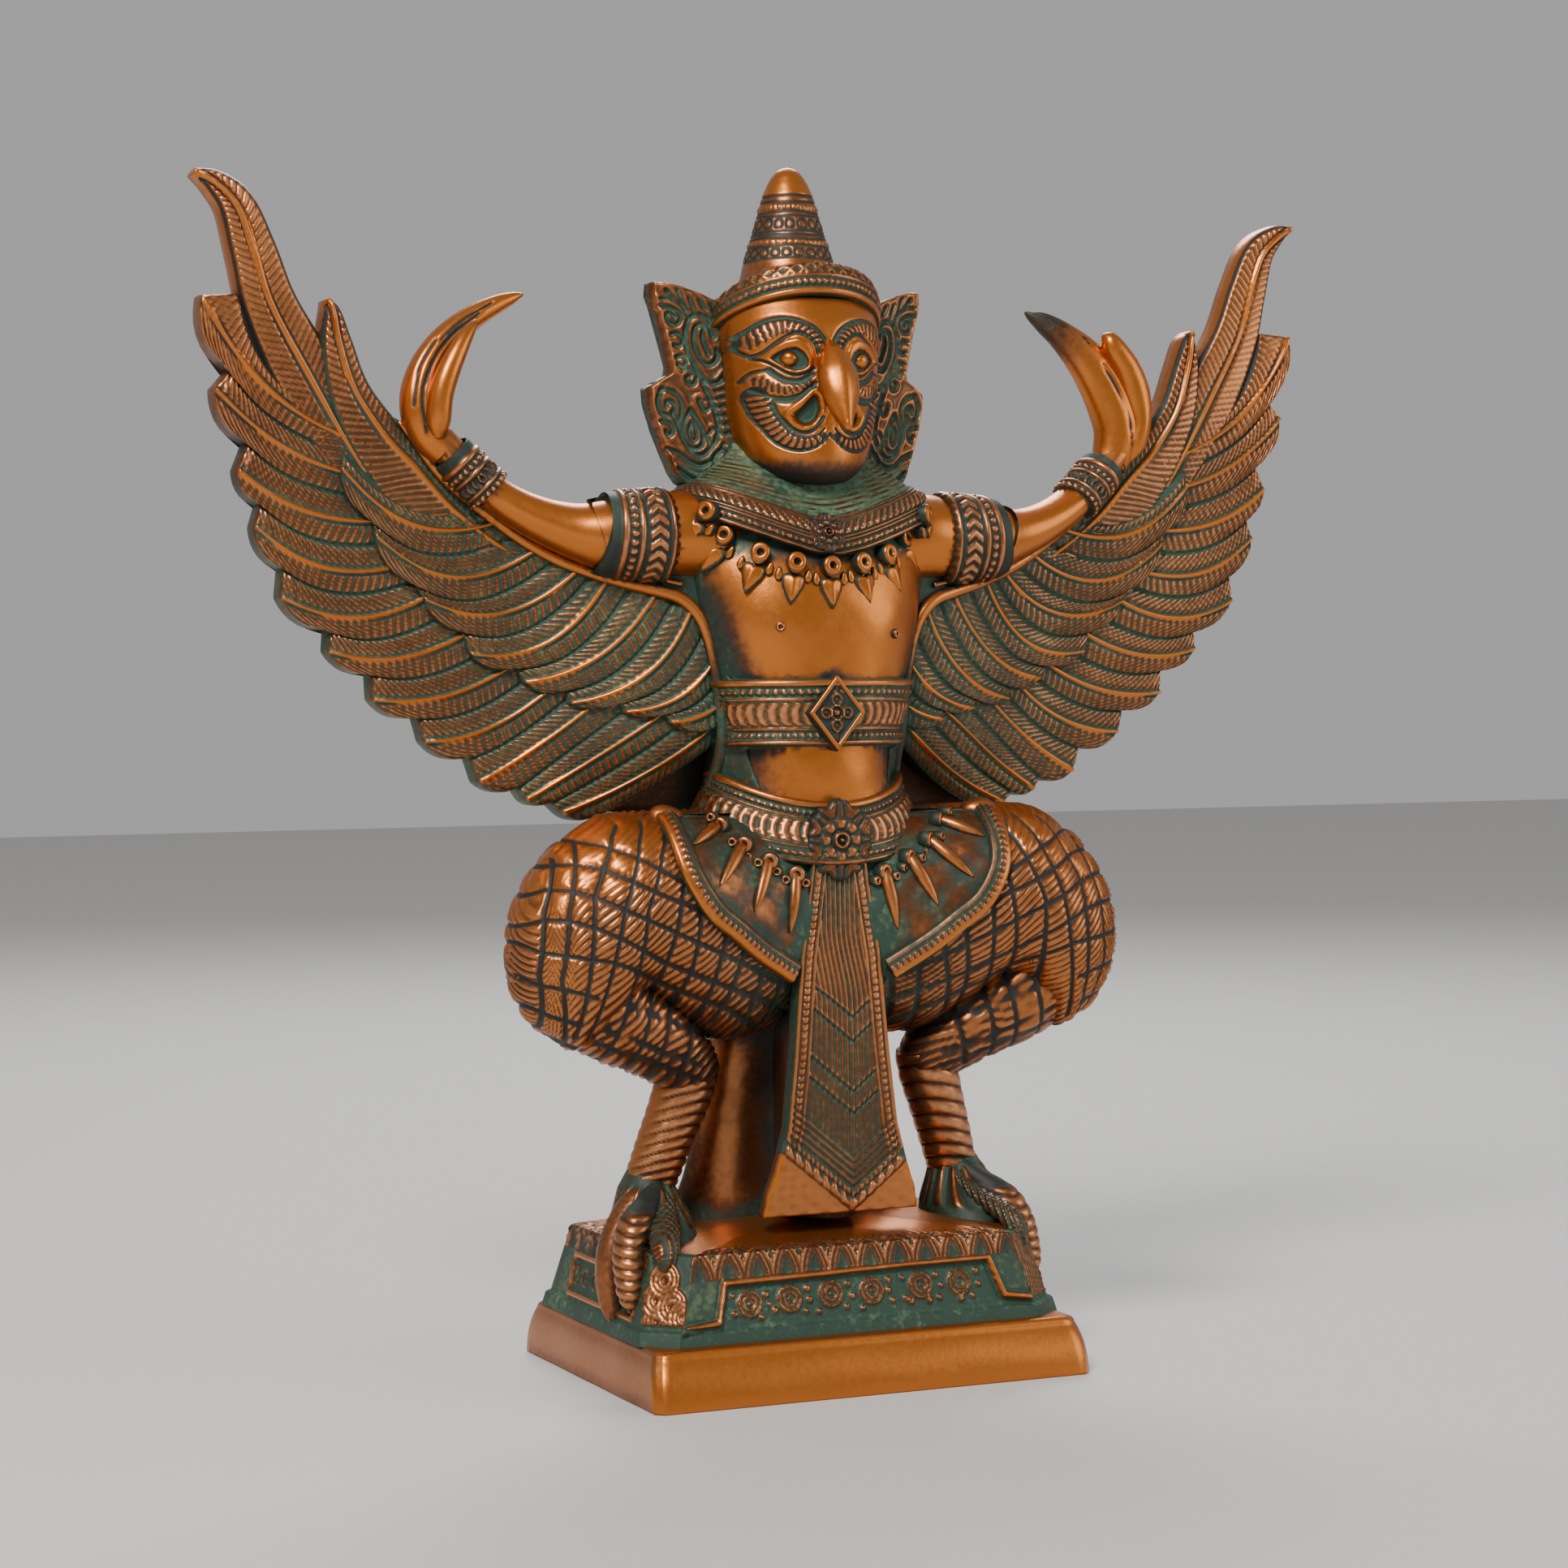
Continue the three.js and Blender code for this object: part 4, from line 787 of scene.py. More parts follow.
def drapeShell():
    # Hanging panel: fluted field with cut lines in V shape, a bordered edge of small squares, and
    # a hem of cords, balls and hearts that follow the V, each laid by its distance from its line
    p = drape
    z = np.linspace(194, 62.5, 200)[:, None]
    half, front = (np.interp(-z, *(np.array(p[key]) * [-1, 1]).T) for key in ("halves", "front"))
    u = np.linspace(-1, 1, 84)[None]
    x = u * half
    z = z + 0 * x
    edge = half - np.abs(x)
    apex = x - p["apex"] * fade(-z, -170, -140)
    bottom = z + p["slope"] * -np.abs(apex)  # height of the V that a point lies on
    border = ringLines(edge, (0.9,), 0.85) * 0.9 + 0.7 * ringLines(edge, (6.0,), 0.6)
    step = (z + 1.3) % 2.7 - 1.35
    square = mound(np.maximum(np.abs(step) * 1.05, np.abs(edge - 3.5) * 0.95), 1.3)
    inField = fade(edge, 6.4, 6.9)
    fluting = np.cos(apex * (1 + 0.0021 * (z - 120)) * 2 * np.pi / p["flutePitch"])
    wide = 1 - fade(np.abs(apex), 1.6, 3.0) * 0.25
    field = inField * (0.42 * fluting * wide)
    cutLine = sum(furrow(bottom - cut + 4, 0.55) for cut in p["cuts"])
    lip = sum(mound(bottom - cut + 2.7, 0.7) for cut in p["cuts"])
    hem = 1 - fade(bottom, p["hemTop"] - 5, p["hemTop"] - 4.4)
    cords = ringLines((bottom - 60) % 2.9, (1.45,), 0.95) * fade(bottom, 71, 71.6)
    vRun = np.abs(apex) * np.hypot(1, p["slope"])
    beads = mound(np.hypot((vRun + 1.2) % 2.4 - 1.2, (bottom - 69.2) * 0.77), 1.15)
    heartStep = (vRun + 2.4) % 4.8 - 2.4
    hearts = mound(np.hypot(heartStep * 0.8, (bottom - 65.4) * 0.77 + 0.35 * np.abs(heartStep)), 1.95)
    border *= fade(bottom, 68.6, 69.4)
    square *= fade(bottom, 70, 71)
    hemRelief = 0.75 * cords + 1.15 * beads + 1.35 * hearts - 0.4 * fade(bottom, 60, 71)
    relief = border + 0.9 * square + (field - 0.75 * cutLine * inField + 0.4 * lip * inField) * (1 - hem)
    relief = relief + hemRelief * hem * fade(edge, 0.4, 2)
    pucker = 0.25 * np.sin(z * 0.9) * np.sin(x * 0.7)
    plain = (1 - fade(bottom, 61.5, 63)) * hem
    relief = relief * (1 - 0.9 * plain) + 0.5 * (1 - np.abs(u) ** 6) + pucker * plain
    y = front - relief - 0.6
    tone = np.clip(relief / 0.9 - 0.35, -1, 1) * (1 - plain) + 0.35 * plain
    tone -= 0.9 * cutLine * inField * (1 - hem) + 0.25 * (1 - fade(z, 120, 165)) * (1 - plain)
    rings = sheet(np.stack([x, y, z], -1), (front + p["thickness"])[:, 0], 8)
    polish = 0.22 + 0.35 * mound(edge - 0.9, 1.2) + 0.35 * plain + 0.15 * inField * (1 - hem) * fade(z,
                                                                                                     95,
                                                                                                     150)
    return sheetShell(x, rings, (tone, -0.2), (np.clip(polish, 0, 1), 0.3), (0.85 - 0.3 * plain, 0.8))


castPiece("tail", tailShells())
castPiece("drape", [drapeShell()])


def badge(middle, turn, reach, face, rows=20, cols=64, sink=2.5, tilt=0.0, swing=0.0):
    # Ornament facing outwards at a turn about the upright axis: reach is its outline as a
    # function of the angle from straight up, face gives height, tone and polish from r and angle
    angle = np.linspace(0, 2 * np.pi, cols, endpoint=False)[None]
    share = np.linspace(1, 0.02, rows)[:, None]
    edge = reach(angle) + 0 * share
    r = share * edge
    height, tone, polish = (value + 0 * r for value in face(r, angle, edge))
    r = np.concatenate([edge[:1] * 0.97, edge[:1], r])
    height = np.concatenate([height[:1] * 0 - sink, height[:1] * 0 - 0.3, height])
    tone = np.concatenate([tone[:1] * 0 - 0.6, tone[:1] * 0 - 0.6, tone])
    polish = np.concatenate([polish[:1] * 0 + 0.2, polish[:1] * 0 + 0.2, polish])
    right = np.array([np.cos(turn), np.sin(turn), 0])
    out = np.array([np.sin(turn) * np.cos(tilt), -np.cos(turn) * np.cos(tilt), np.sin(tilt)])
    up = np.cross(right, out) * -1
    up = up if up[2] > 0 else -up
    points = (np.asarray(middle, float) + (r * np.sin(angle + swing))[..., None] * right
              + (r * np.cos(angle + swing))[..., None] * up + height[..., None] * out)
    layers = np.stack([np.clip(tone, -1, 1), np.clip(polish, 0, 1), 0 * tone + 0.6], -1)
    return {"rings": points, "layers": layers}


def lozenge(halfX, halfZ):
    # Diamond outline: at every angle the two shares of its half sizes add up to 1
    def reach(angle):
        return 1 / (np.abs(np.sin(angle)) / halfX + np.abs(np.cos(angle)) / halfZ)
    return reach


def flowerHead(halfX, halfZ):
    # Rounded lozenge with a scalloped edge: eight round petals round a ringed middle, and a
    # ribbed leaf towards each of the four points
    def reach(angle):
        return lozenge(halfX, halfZ)(angle) * (1 + 0.3 * np.sin(2 * angle) ** 2 - 0.05
                                               * (1 + np.cos(16 * angle)))

    def face(r, angle, edge):
        inner = mound(r - 6.1, 2.3) * (0.15 + 0.85 * np.abs(np.cos(4 * angle)) ** 0.6)
        middle = ringLines(r, (2.6,), 0.9) + 1.2 * mound(r, 1.0)
        turned = (angle + np.pi / 8) % (np.pi / 4) - np.pi / 8
        leaf = fade(r, 8.2, 9) * (0.9 - 1.5 * furrow(np.abs(turned) * r - 0.16 * (edge - r) - 0.9, 0.5))
        rim = fade(r / edge, 0.9, 1)
        height = 1.6 + 1.5 * inner + 1.9 * middle + 0.7 * leaf - 0.8 * rim
        return height, -0.75 + 1.3 * inner + 1.3 * middle + 1.05 * leaf - 0.5 * rim, 0.35

    return reach, face


def lozengeFace(r, angle, edge):
    # Raised diamond rim round a flower of four round petals and a ringed middle
    rim = fade(r / edge, 0.78, 0.83) * (1 - 0.7 * fade(r / edge, 0.95, 1))
    level, upright = np.abs(r * np.sin(angle)), np.abs(r * np.cos(angle))
    petal = np.minimum(np.hypot(level - 4.3, upright), np.hypot(level, upright - 4.8))
    flower = ringLines(petal, (1.9,), 0.75) + 0.9 * mound(petal, 0.8) + 1.3 * mound(r, 1.4)
    flower = (flower + ringLines(r, (2.5,), 0.6)) * fade(0.8 * edge - r, 0, 0.8)
    flower = flower + 0.8 * furrow(level, 0.7) * fade(upright, 6.6, 7.4) * (r < 0.76 * edge)
    return 1.2 + 1.5 * rim + 0.9 * flower, -0.8 + 1.25 * rim + 1.1 * flower, 0.35 + 0.4 * rim


def ringBoss(radius):
    # Small raised ring round a hole
    def reach(angle):
        return radius + 0 * angle

    def face(r, angle, edge):
        ring = mound(r - radius * 0.62, radius * 0.4)
        return 0.3 + 1.5 * ring, -0.9 + 1.7 * ring, 0.45

    return reach, face


def strips(s, v, parts):
    # Bands of ornament across a belt: cords, rows of balls, and bent leaf strokes. Each part is
    # its kind, its middle in mm across, its half width and its pitch along
    relief = np.zeros(s.shape)
    for kind, middle, half, pitch in parts:
        d = v - middle
        if kind == "cord":
            relief += 0.95 * mound(d, half)
        elif kind == "beads":
            step = (s + pitch / 2) % pitch - pitch / 2
            relief += 1.15 * mound(np.hypot(step, d), half)
        elif kind == "leaves":
            bend = np.abs(s) / pitch - 0.42 * (1 - (d / half) ** 2)
            wave = np.cos(bend * 2 * np.pi)
            relief += (0.75 * wave - 0.1 + 0.25 * np.cos(bend * 4 * np.pi)) * fade(half - np.abs(d), 0, 0.7)
        elif kind == "lunes":  # overlapping rounded scales, narrow cuts between them
            place = (np.abs(s) / pitch - 0.5 * (1 - (d / half) ** 2)) % 1
            relief += (1.15 * mound(place - 0.5, 0.46) ** 0.7 - 0.1) * fade(half - np.abs(d), 0, 0.6)
        elif kind == "lashes":  # slanted leaves side by side, narrow cuts between them
            place = ((np.abs(s) - 0.75 * d) / pitch) % 1
            relief += (1.25 * mound(place - 0.4, 0.36) ** 0.7 - 0.1) * fade(half - np.abs(d), 0, 0.6)
        elif kind == "arrows":  # column of nested arrow heads
            place = ((s + 0.8 * np.abs(d)) / pitch) % 1
            relief += (1.15 * mound(place - 0.45, 0.38) ** 0.7 - 0.1) * fade(half - np.abs(d), 0, 0.6)
    return relief


# Torso, belts and skirt

torsoRows = [(160, -4, 30, 25), (182, -4, 42, 31), (200, -4, 44, 31), (214, -5, 39, 28.5),
             (226, -6.5, 33, 28), (240, -6, 33.5, 29), (256, -6, 38, 31.5), (274, -5, 43.5, 33),
             (292, -4, 47.5, 34), (306, -3, 50, 31), (318, -3, 47, 25), (328, -1, 33, 20),
             (336, 2, 21, 19), (350, 3, 19, 19)]
belts = {
    "belly": [(236.4, -8, 35, 29), (237, -8, 37.5, 31.5), (242, -8, 36.8, 30.9), (247, -8, 37.6, 31.6),
              (256, -8, 40.2, 33.7), (261, -8, 41.6, 34.6), (261.8, -8, 39, 32)],
    "bellyStrips": [("cord", 1.0, 1.0, 0), ("beads", 3.6, 1.15, 2.9), ("cord", 6.1, 0.8, 0),
                    ("lunes", 11.6, 4.6, 4.4), ("cord", 17.1, 0.8, 0), ("beads", 19.8, 1.25, 3.0),
                    ("cord", 22.9, 1.2, 0)],
    "hip": [(204, -5, 44, 31.5), (205, -5, 47.2, 34.6), (209, -5, 46.2, 34.5), (213, -5, 43.5, 32.7),
            (222, -5, 38.8, 30), (226.6, -5, 38.2, 30.6), (227.6, -5, 35, 28)],
    "hipStrips": [("cord", 0.9, 0.9, 0), ("beads", 3.4, 1.2, 2.75), ("cord", 5.9, 0.75, 0),
                  ("lunes", 11.2, 4.6, 4.2), ("cord", 16.4, 0.7, 0), ("beads", 18.5, 1.1, 2.7),
                  ("cord", 21.6, 1.3, 0)],
    "hipDip": 12,
}


def ovalFront(x, y, halfX, halfY):
    # Front of an oval about y: its half depth times the height of a half circle at that x
    return y - halfY * np.sqrt(np.clip(1 - (x / halfX) ** 2, 0.02, 1))


def torsoFront(x, z):
    rows = np.array(torsoRows)
    return ovalFront(x, *(np.interp(z, rows[:, 0], rows[:, k]) for k in (1, 2, 3)))


def thighFront(x, z):
    # The same across the thighs, whose ovals stand upright and follow each other along x
    rows = np.array([(2, -6, 176, 27, 34), (18, -7, 172, 31, 41), (38, -9, 170, 33.5, 43),
                     (57, -13.5, 174.5, 33, 38.5), (75, -17, 180.5, 31.5, 32.5), (90, -18, 177, 30, 36)])
    y, middle, halfY, halfZ = (np.interp(np.abs(x), rows[:, 0], rows[:, k]) for k in (1, 2, 3, 4))
    return ovalFront(z - middle, y, halfZ, halfY)


def torsoShells():
    # Body with a swell at each breast and a hollow under them, bell curves about their middles;
    # then the two belts with their badges
    rings = ovals(torsoRows, 76, 80, bias=0.35)
    x, y, z = (rings[..., k] for k in range(3))
    front = fade(-y, -4, 12)
    breast = 1.6 * np.exp(-((np.abs(x) - 23) / 15) ** 2 - ((z - 281) / 13) ** 2)
    notch = 0.8 * np.exp(-(x / 10) ** 2 - ((z - 262) / 8) ** 2) * front
    relief = breast * front - 0.8 * notch
    relief += 0.08 * np.sin(x * 0.45) * np.sin(z * 0.39)
    top = fade(z, 300, 312)
    rear = fade(y, -2, 10)
    spine = rear * furrow(x, 2.2) * (z < 310)
    # painted shade on the body's sides above the belly belt; there it is also less polished and greener
    shadedFlank = fade(np.abs(x) - 0.28 * (z - 262), 23, 38) * (z > 258)
    # the hollow under the breasts (notch) is darkened with painted shade and also takes verdigris
    tone = 0.36 - 0.7 * notch - 0.35 * top - 0.15 * rear - 0.6 * spine
    # painted shade over the figure's right chest down to the belly belt, and at the sides of the waist
    # between the belts
    shade = fade(-x - 0.45 * (z - 262), 12, 42) * fade(z, 258, 262) * (1 - fade(z, 292, 304))
    shade = np.maximum(shade, fade(np.abs(x), 10, 30) * (1 - fade(z, 236, 238)))
    tone = tone - 0.5 * shadedFlank - 0.4 * shade * front
    polish = 0.92 - 0.4 * top - 0.35 * rear - 0.4 * shadedFlank - 0.4 * shade
    green = 0.2 + 0.7 * top + 0.3 * rear + 0.5 * shadedFlank + 0.4 * notch
    shells = [shell(rings, relief - 0.8 * spine, np.clip(tone, -1, 1), np.clip(polish, 0, 1),
                    np.clip(green, 0, 1))]
    for key, dip in (("belly", 0), ("hip", belts["hipDip"])):
        rows = belts[key]
        band = ovals(rows, 46, 190, bias=0.4, dip=dip, smooth=False)
        v = np.linspace(0, rows[-1][0] - rows[0][0], 46)[:, None]
        s = np.cumsum(np.linalg.norm(np.diff(band, axis=1, prepend=band[:, :1]), axis=2), 1)
        s = s - s[:, 95:96]
        relief = strips(s.mean(0)[None] + 0 * v, v - 0.6 + 0 * s, belts[key + "Strips"])
        tone = np.clip(-0.75 + 1.5 * relief, -1, 1)
        cordShare = fade(v, rows[-1][0] - rows[0][0] - 3.2, rows[-1][0] - rows[0][0] - 2.2)
        shells.append(shell(band, relief, tone, 0.25 + 0.4 * cordShare, 0.95))
    shells.append(badge((-2.6, -41.2, 249), 0, lozenge(11.6, 14.4), lozengeFace, rows=34, cols=104, sink=6))
    for x, z in ((-21.8, 281), (25.6, 278.4)):
        y = torsoFront(x, z) - 1.5
        shells.append(badge((x, y, z), np.arcsin(x / 44) * 0.8, *ringBoss(1.9), rows=10, cols=22, sink=2))
    shells.append(badge((0, -37.6, 201.6), 0, *flowerHead(14.2, 17.4), rows=36, cols=120, sink=6))
    return shells


castPiece("torso", torsoShells())

skirt = {
    "border": [(65.5, -20, 212), (65, -25, 208.5), (64.5, -34, 201), (62, -41.5, 190), (54.5, -46.5, 178),
               (44.5, -45.6, 170), (34, -42.5, 162), (19.5, -39, 153)],
    "edge": [(150, 18), (153.5, 19.5), (164, 33), (171, 44), (179, 54), (191.5, 61.5), (202, 65),
             (214, 65)],
    "spikes": [(45.5, 208, 59.5, 201.6), (38.2, 200.8, 51.5, 186.6), (28.8, 194.6, 37.4, 176.4),
               (18.2, 189.4, 21.9, 168)],
}


def skirtShells():
    # Cloth that lies on the thighs down to a round border of balls, with thorns hung on rings
    z = np.linspace(212, 150, 56)[:, None]
    half = np.interp(z, [row[0] for row in skirt["edge"]], [row[1] for row in skirt["edge"]])
    u = np.linspace(-1, 1, 96)[None]
    x = u * half
    z = z + 0 * x
    pucker = 0.25 * np.sin(x * 0.5 + 1) * np.sin(z * 0.6)
    y = thighFront(x, z) - 2.4 + pucker
    centre = 1 - fade(np.abs(x), 14, 26)
    tone = -0.05 + 0.3 * np.sin(x * 0.23) * np.sin(z * 0.31) - 0.7 * centre
    rings = sheet(np.stack([x, y, z], -1), -20, 6)
    shells = [sheetShell(x, rings, (tone, 0), (0.4 - 0.2 * centre, 0.4), (0.75 + 0.3 * centre, 0.5))]
    for side in (1, -1):
        line = along(skirt["border"], np.linspace(0, 1, 40))
        level = np.minimum(line[:, 1], thighFront(line[:, 0], line[:, 2]) - 1.6)
        size = np.full((40, 2), (4.3, 2.8))
        band = limb(np.column_stack([side * line[:, 0], level, line[:, 2], size]), 190, 32,
                    lift=(0, -1, 0.02))
        turn = angles(32)[None]
        across = -side * 4.3 * np.cos(turn)
        outward = fade(np.sin(turn), 0.05, 0.4)
        run = np.linspace(0, 92, 190)[:, None]
        step = (run + 1.3) % 2.6 - 1.3
        outer = 1.0 * mound(across - 2.75, 1.35)
        inner = 0.75 * mound(across + 2.4, 0.7) + 0.6 * mound(across + 3.7, 0.6)
        balls = 1.1 * mound(np.maximum(np.abs(step) * 0.95, np.abs(across - 0.2)), 1.15)
        relief = (outer + inner + balls - 0.3) * outward
        tone = np.clip(-0.7 + 1.35 * (outer + inner + balls), -1, 1)
        shells.append(shell(band, relief, tone, 0.3 + 0.5 * mound(across - 2.75, 1.8) * outward, 0.8))
        # knob where the border meets the belt
        knob = limb([(side * 58, -20, 211, 1, 1), (side * 61, -24, 211, 4, 4),
                     (side * 66, -25, 210.5, 5, 5.4),
                     (side * 69.5, -24, 209.5, 3.4, 4), (side * 71, -23, 209, 0.8, 1)], 24, 24)
        shells.append(shell(knob, 0.0, 0.3, 0.55, 0.3))
        for x0, z0, x1, z1 in skirt["spikes"]:
            x0, x1 = side * x0, side * x1
            t = np.array([-0.1, 0.08, 0.4, 0.75, 0.97, 1.0])
            width = np.array([1.2, 2.2, 2.3, 1.5, 0.5, 0.2])
            px, pz = x0 + (x1 - x0) * t, z0 + (z1 - z0) * t
            py = thighFront(px, pz) - 2.7
            thorn = limb(np.column_stack([px, py, pz, width, width * 1.15]), 26, 16)
            rib = np.cos(angles(16))[None] ** 8
            shells.append(shell(thorn, 0.25 * rib, 0.1 + 0.3 * rib, 0.6, 0.6))
            turn = np.arctan2(x0 * 0.8, 40)
            boss = (x0 * 0.985, thighFront(x0, z0) - 3.6, z0)
            shells.append(badge(boss, turn, *ringBoss(3.3), rows=10, cols=24, sink=3))
            for a in (-1, 1):
                shift = np.array([(z1 - z0), 0, -(x1 - x0)]) / np.hypot(x1 - x0, z1 - z0)
                curl = np.array(boss) + a * shift * 4.1 + np.array([x1 - x0, 0, z1 - z0]) * 0.12
                shells.append(badge(curl, turn, *ringBoss(2.0), rows=7, cols=16, sink=3))
    return shells


castPiece("skirt", skirtShells())

# Necklace

necklace = {
    "collar": [(322.6, -3, 46, 29.5, 20), (323.4, -3, 50, 33, 20), (327, -3, 50, 33.2, 20.4),
               (331.6, -2.6, 48.6, 31.8, 19.4), (335, -1, 45, 28.6, 17.6), (336, 0, 43, 26, 17)],
    "middle": -2.2,
    # x and z of each hole and how its stone swings outwards
    "pendants": [(0, 303.6, 0.0), (13.4, 305, 0.16), (26, 308.6, 0.36), (36.8, 315.4, 0.55),
                 (44.6, 324, 0.75)],
    "spade": [(0, 2.6), (0.55, 4.4), (1.0, 5.1), (1.6, 4.2), (2.3, 4.1), (2.75, 5.4), (3.15, 8.2)],
    "leaf": [(0, 2.6), (0.8, 1.4), (1.6, 1.3), (3.15, 2.9)],
    "strips": [("cord", 0.2, 0.7, 0), ("beads", 2.4, 1.1, 2.6), ("cord", 4.5, 0.6, 0),
               ("cord", 5.9, 0.6, 0),
               ("lashes", 9.6, 3.0, 3.4), ("cord", 13.4, 0.55, 0), ("cord", 14.8, 0.5, 0)],
}


def fromTable(table):
    # Outline from a short list of turns and radii, the same on both sides
    def reach(angle):
        return np.interp(np.abs((angle + np.pi) % (2 * np.pi) - np.pi), *np.array(table).T)
    return reach


def smoothFace(rise, ridge):
    # Low smooth stone with a dark line round it and a slight ridge along its middle
    def face(r, angle, edge):
        rim = furrow(r / edge - 0.93, 0.07)
        middle = furrow(np.sin(angle) * r, 1.4)
        return rise * (1 - (r / edge) ** 3
                       * 0.55) + ridge * middle - 0.5 * rim, 0.42 - 1.6 * rim, 0.9 - 0.6 * rim
    return face


def keyhole(r, angle, edge):
    # Ring round a dark hole, closed below by a short neck
    ring = mound(r - 2.35, 1.25)
    hole = r < 1.15
    return 1.3 + 1.0 * ring - 1.6 * hole, -0.2 + 0.75 * ring - 1.2 * hole, 0.75 - 0.6 * hole


def smallFlower(r, angle, edge):
    # The belt's flower at 1 to 1.7
    return flowerHead(8.6, 9.4)[1](r * 1.7, angle, edge * 1.7)


def ringTop(angle):
    # Round outline with a short neck straight down
    return 3.7 + 0.9 * np.clip(-np.cos(angle), 0, 1) ** 6


def collarShells():
    # Collar in V shape with strips laid by the length up its front, then the pendants: a ring,
    # a stone that swings outwards with the ring's place, and a leaf at each side of it
    rings = vees(necklace["collar"], 62, 200)
    v = lengths(rings[:, 100])[:, None] + np.zeros(200)
    s = lengths(rings[20])
    s = (s - s[100])[None] + 0 * v
    up = v - 4
    relief = strips(s, up, necklace["strips"])
    thin = 0.3 * np.cos(up * 2 * np.pi / 2.1) * fade(up, 15.2, 16)
    upper = fade(up, 13, 16)
    tone = np.clip(-0.6 + 1.35 * relief + 0.9 * thin + 0.2 * upper, -1, 1)
    shells = [shell(rings, relief + 0.6 * thin, tone, 0.3 - 0.25 * upper, 0.8 + 0.2 * upper)]
    for x, z, swing in necklace["pendants"]:
        for side in ((1, -1) if x else (1,)):
            turn = side * np.arcsin(min(x / 52, 1)) * 0.85
            out = 2.6 + 2.6 * (x > 40)
            place = np.array([side * x + necklace["middle"], min(torsoFront(x, z - 3), -21) - out, z])
            right = np.array([np.cos(turn), np.sin(turn), 0])
            hang = side * swing
            middle = place + right * 8.2 * np.sin(hang) - np.array([0, 0, 8.2 * np.cos(hang)])
            middle[1] += 0.6
            shells.append(badge(middle, turn, fromTable(necklace["spade"]), smoothFace(1.9, 0.6), rows=10,
                                cols=34,
                                sink=3.5, tilt=0.1, swing=-hang))
            shells.append(badge(place, turn, ringTop, keyhole, rows=12, cols=28, sink=4, tilt=0.12,
                                swing=-hang))
            for a in (-1, 1):  # dark-edged leaf at each side of the stone
                leaf = place + right * (5.6 * a * np.cos(hang) + 4 * np.sin(hang))
                leaf = leaf - np.array([0, 0, 4.6 - a * 3.4 * np.sin(hang)]) + [0, 1.2, 0]
                shells.append(badge(leaf, turn, fromTable(necklace["leaf"]), smoothFace(0.9, 0.2),
                                    rows=6, cols=16, sink=3, tilt=0.1, swing=-hang))
    shells.append(badge((necklace["middle"], -33.6, 315.4), 0, flowerHead(8.6, 9.4)[0], smallFlower,
                        rows=26, cols=88, sink=5, tilt=0.35))
    return shells


castPiece("necklace", collarShells())

# Arms and hands

arm = {
    "core": [(20, -3, 312, 15, 15), (34, -4, 314, 18.5, 17.6), (48, -6, 316, 17.8, 17),
             (59, -6, 315.5, 16.6, 16), (70, -6, 315.4, 16, 15.6), (80, -5, 315.6, 14.4, 13.4),
             (92, -3, 317.6, 11.6, 10.2), (106, -1, 322.6, 9.8, 8), (120, 2, 330.8, 9.4, 6.8),
             (133, 4, 342.6, 9.2, 6.5), (142, 5, 352, 8.4, 6.4)],
    "armband": [(57.5, -6, 315.2, 16.5, 16.2), (58.2, -6, 315.2, 18.2, 17.8), (70, -6, 315.4, 17.6, 16.8),
                (81.2, -5, 316, 16.4, 15.6), (82, -5, 316.2, 14.4, 13.4)],
    "bracelet": [(121.6, 2, 331.2, 9.2, 6.8), (122.2, 2.1, 331.8, 10.8, 8.4), (129, 3, 338.4, 10.8, 8.2),
                 (135.6, 4, 345.2, 10.8, 8.4), (136.2, 4, 345.8, 9, 6.8)],
    "armbandStrips": [("cord", 1.2, 1.2, 0), ("beads", 4.3, 1.35, 3.4), ("cord", 6.9, 0.8, 0),
                      ("arrows", 12.6, 3.6, 4.4), ("cord", 18.2, 0.8, 0), ("beads", 20.8, 1.35, 3.4),
                      ("cord", 23.9, 1.2, 0)],
    "braceletStrips": [("cord", 1.2, 1.2, 0), ("beads", 4.1, 1.15, 3.1), ("cord", 6.6, 0.8, 0),
                       ("leaves", 9.6, 2.1, 3.4), ("cord", 12.8, 0.8, 0), ("beads", 15.2, 1.15, 3.1),
                       ("cord", 18.2, 1.2, 0)],
}


def ringed(rows, count, cols, parts, **keys):
    # Bracelet: a short limb with strips of ornament across its run
    band = limb(rows, count, cols, **keys)
    v = lengths(band.mean(1))[:, None]
    turn = angles(cols, keys.get("bias", 0))[None]
    s = turn * np.mean([row[3] for row in rows])
    relief = strips(s + 0 * v, v + 0 * s, parts)
    return shell(band, relief, np.clip(-0.5 + 1.3 * relief, -1, 1), 0.36, 0.58)


def armShells():
    # Smooth arm with a patterned band above the elbow and at the wrist
    core = limb(arm["core"], 56, 40, bias=0.3)
    wrist = fade(core[..., 0], 112, 124)
    shells = [shell(core, 0.0, 0.36 - 0.15 * wrist, 0.92 - 0.2 * wrist, 0.2 + 0.4 * wrist)]
    for key, count, cols in (("armband", 54, 112), ("bracelet", 46, 96)):
        shells.append(ringed(arm[key], count, cols, arm[key + "Strips"], bias=0.3))
    return shells


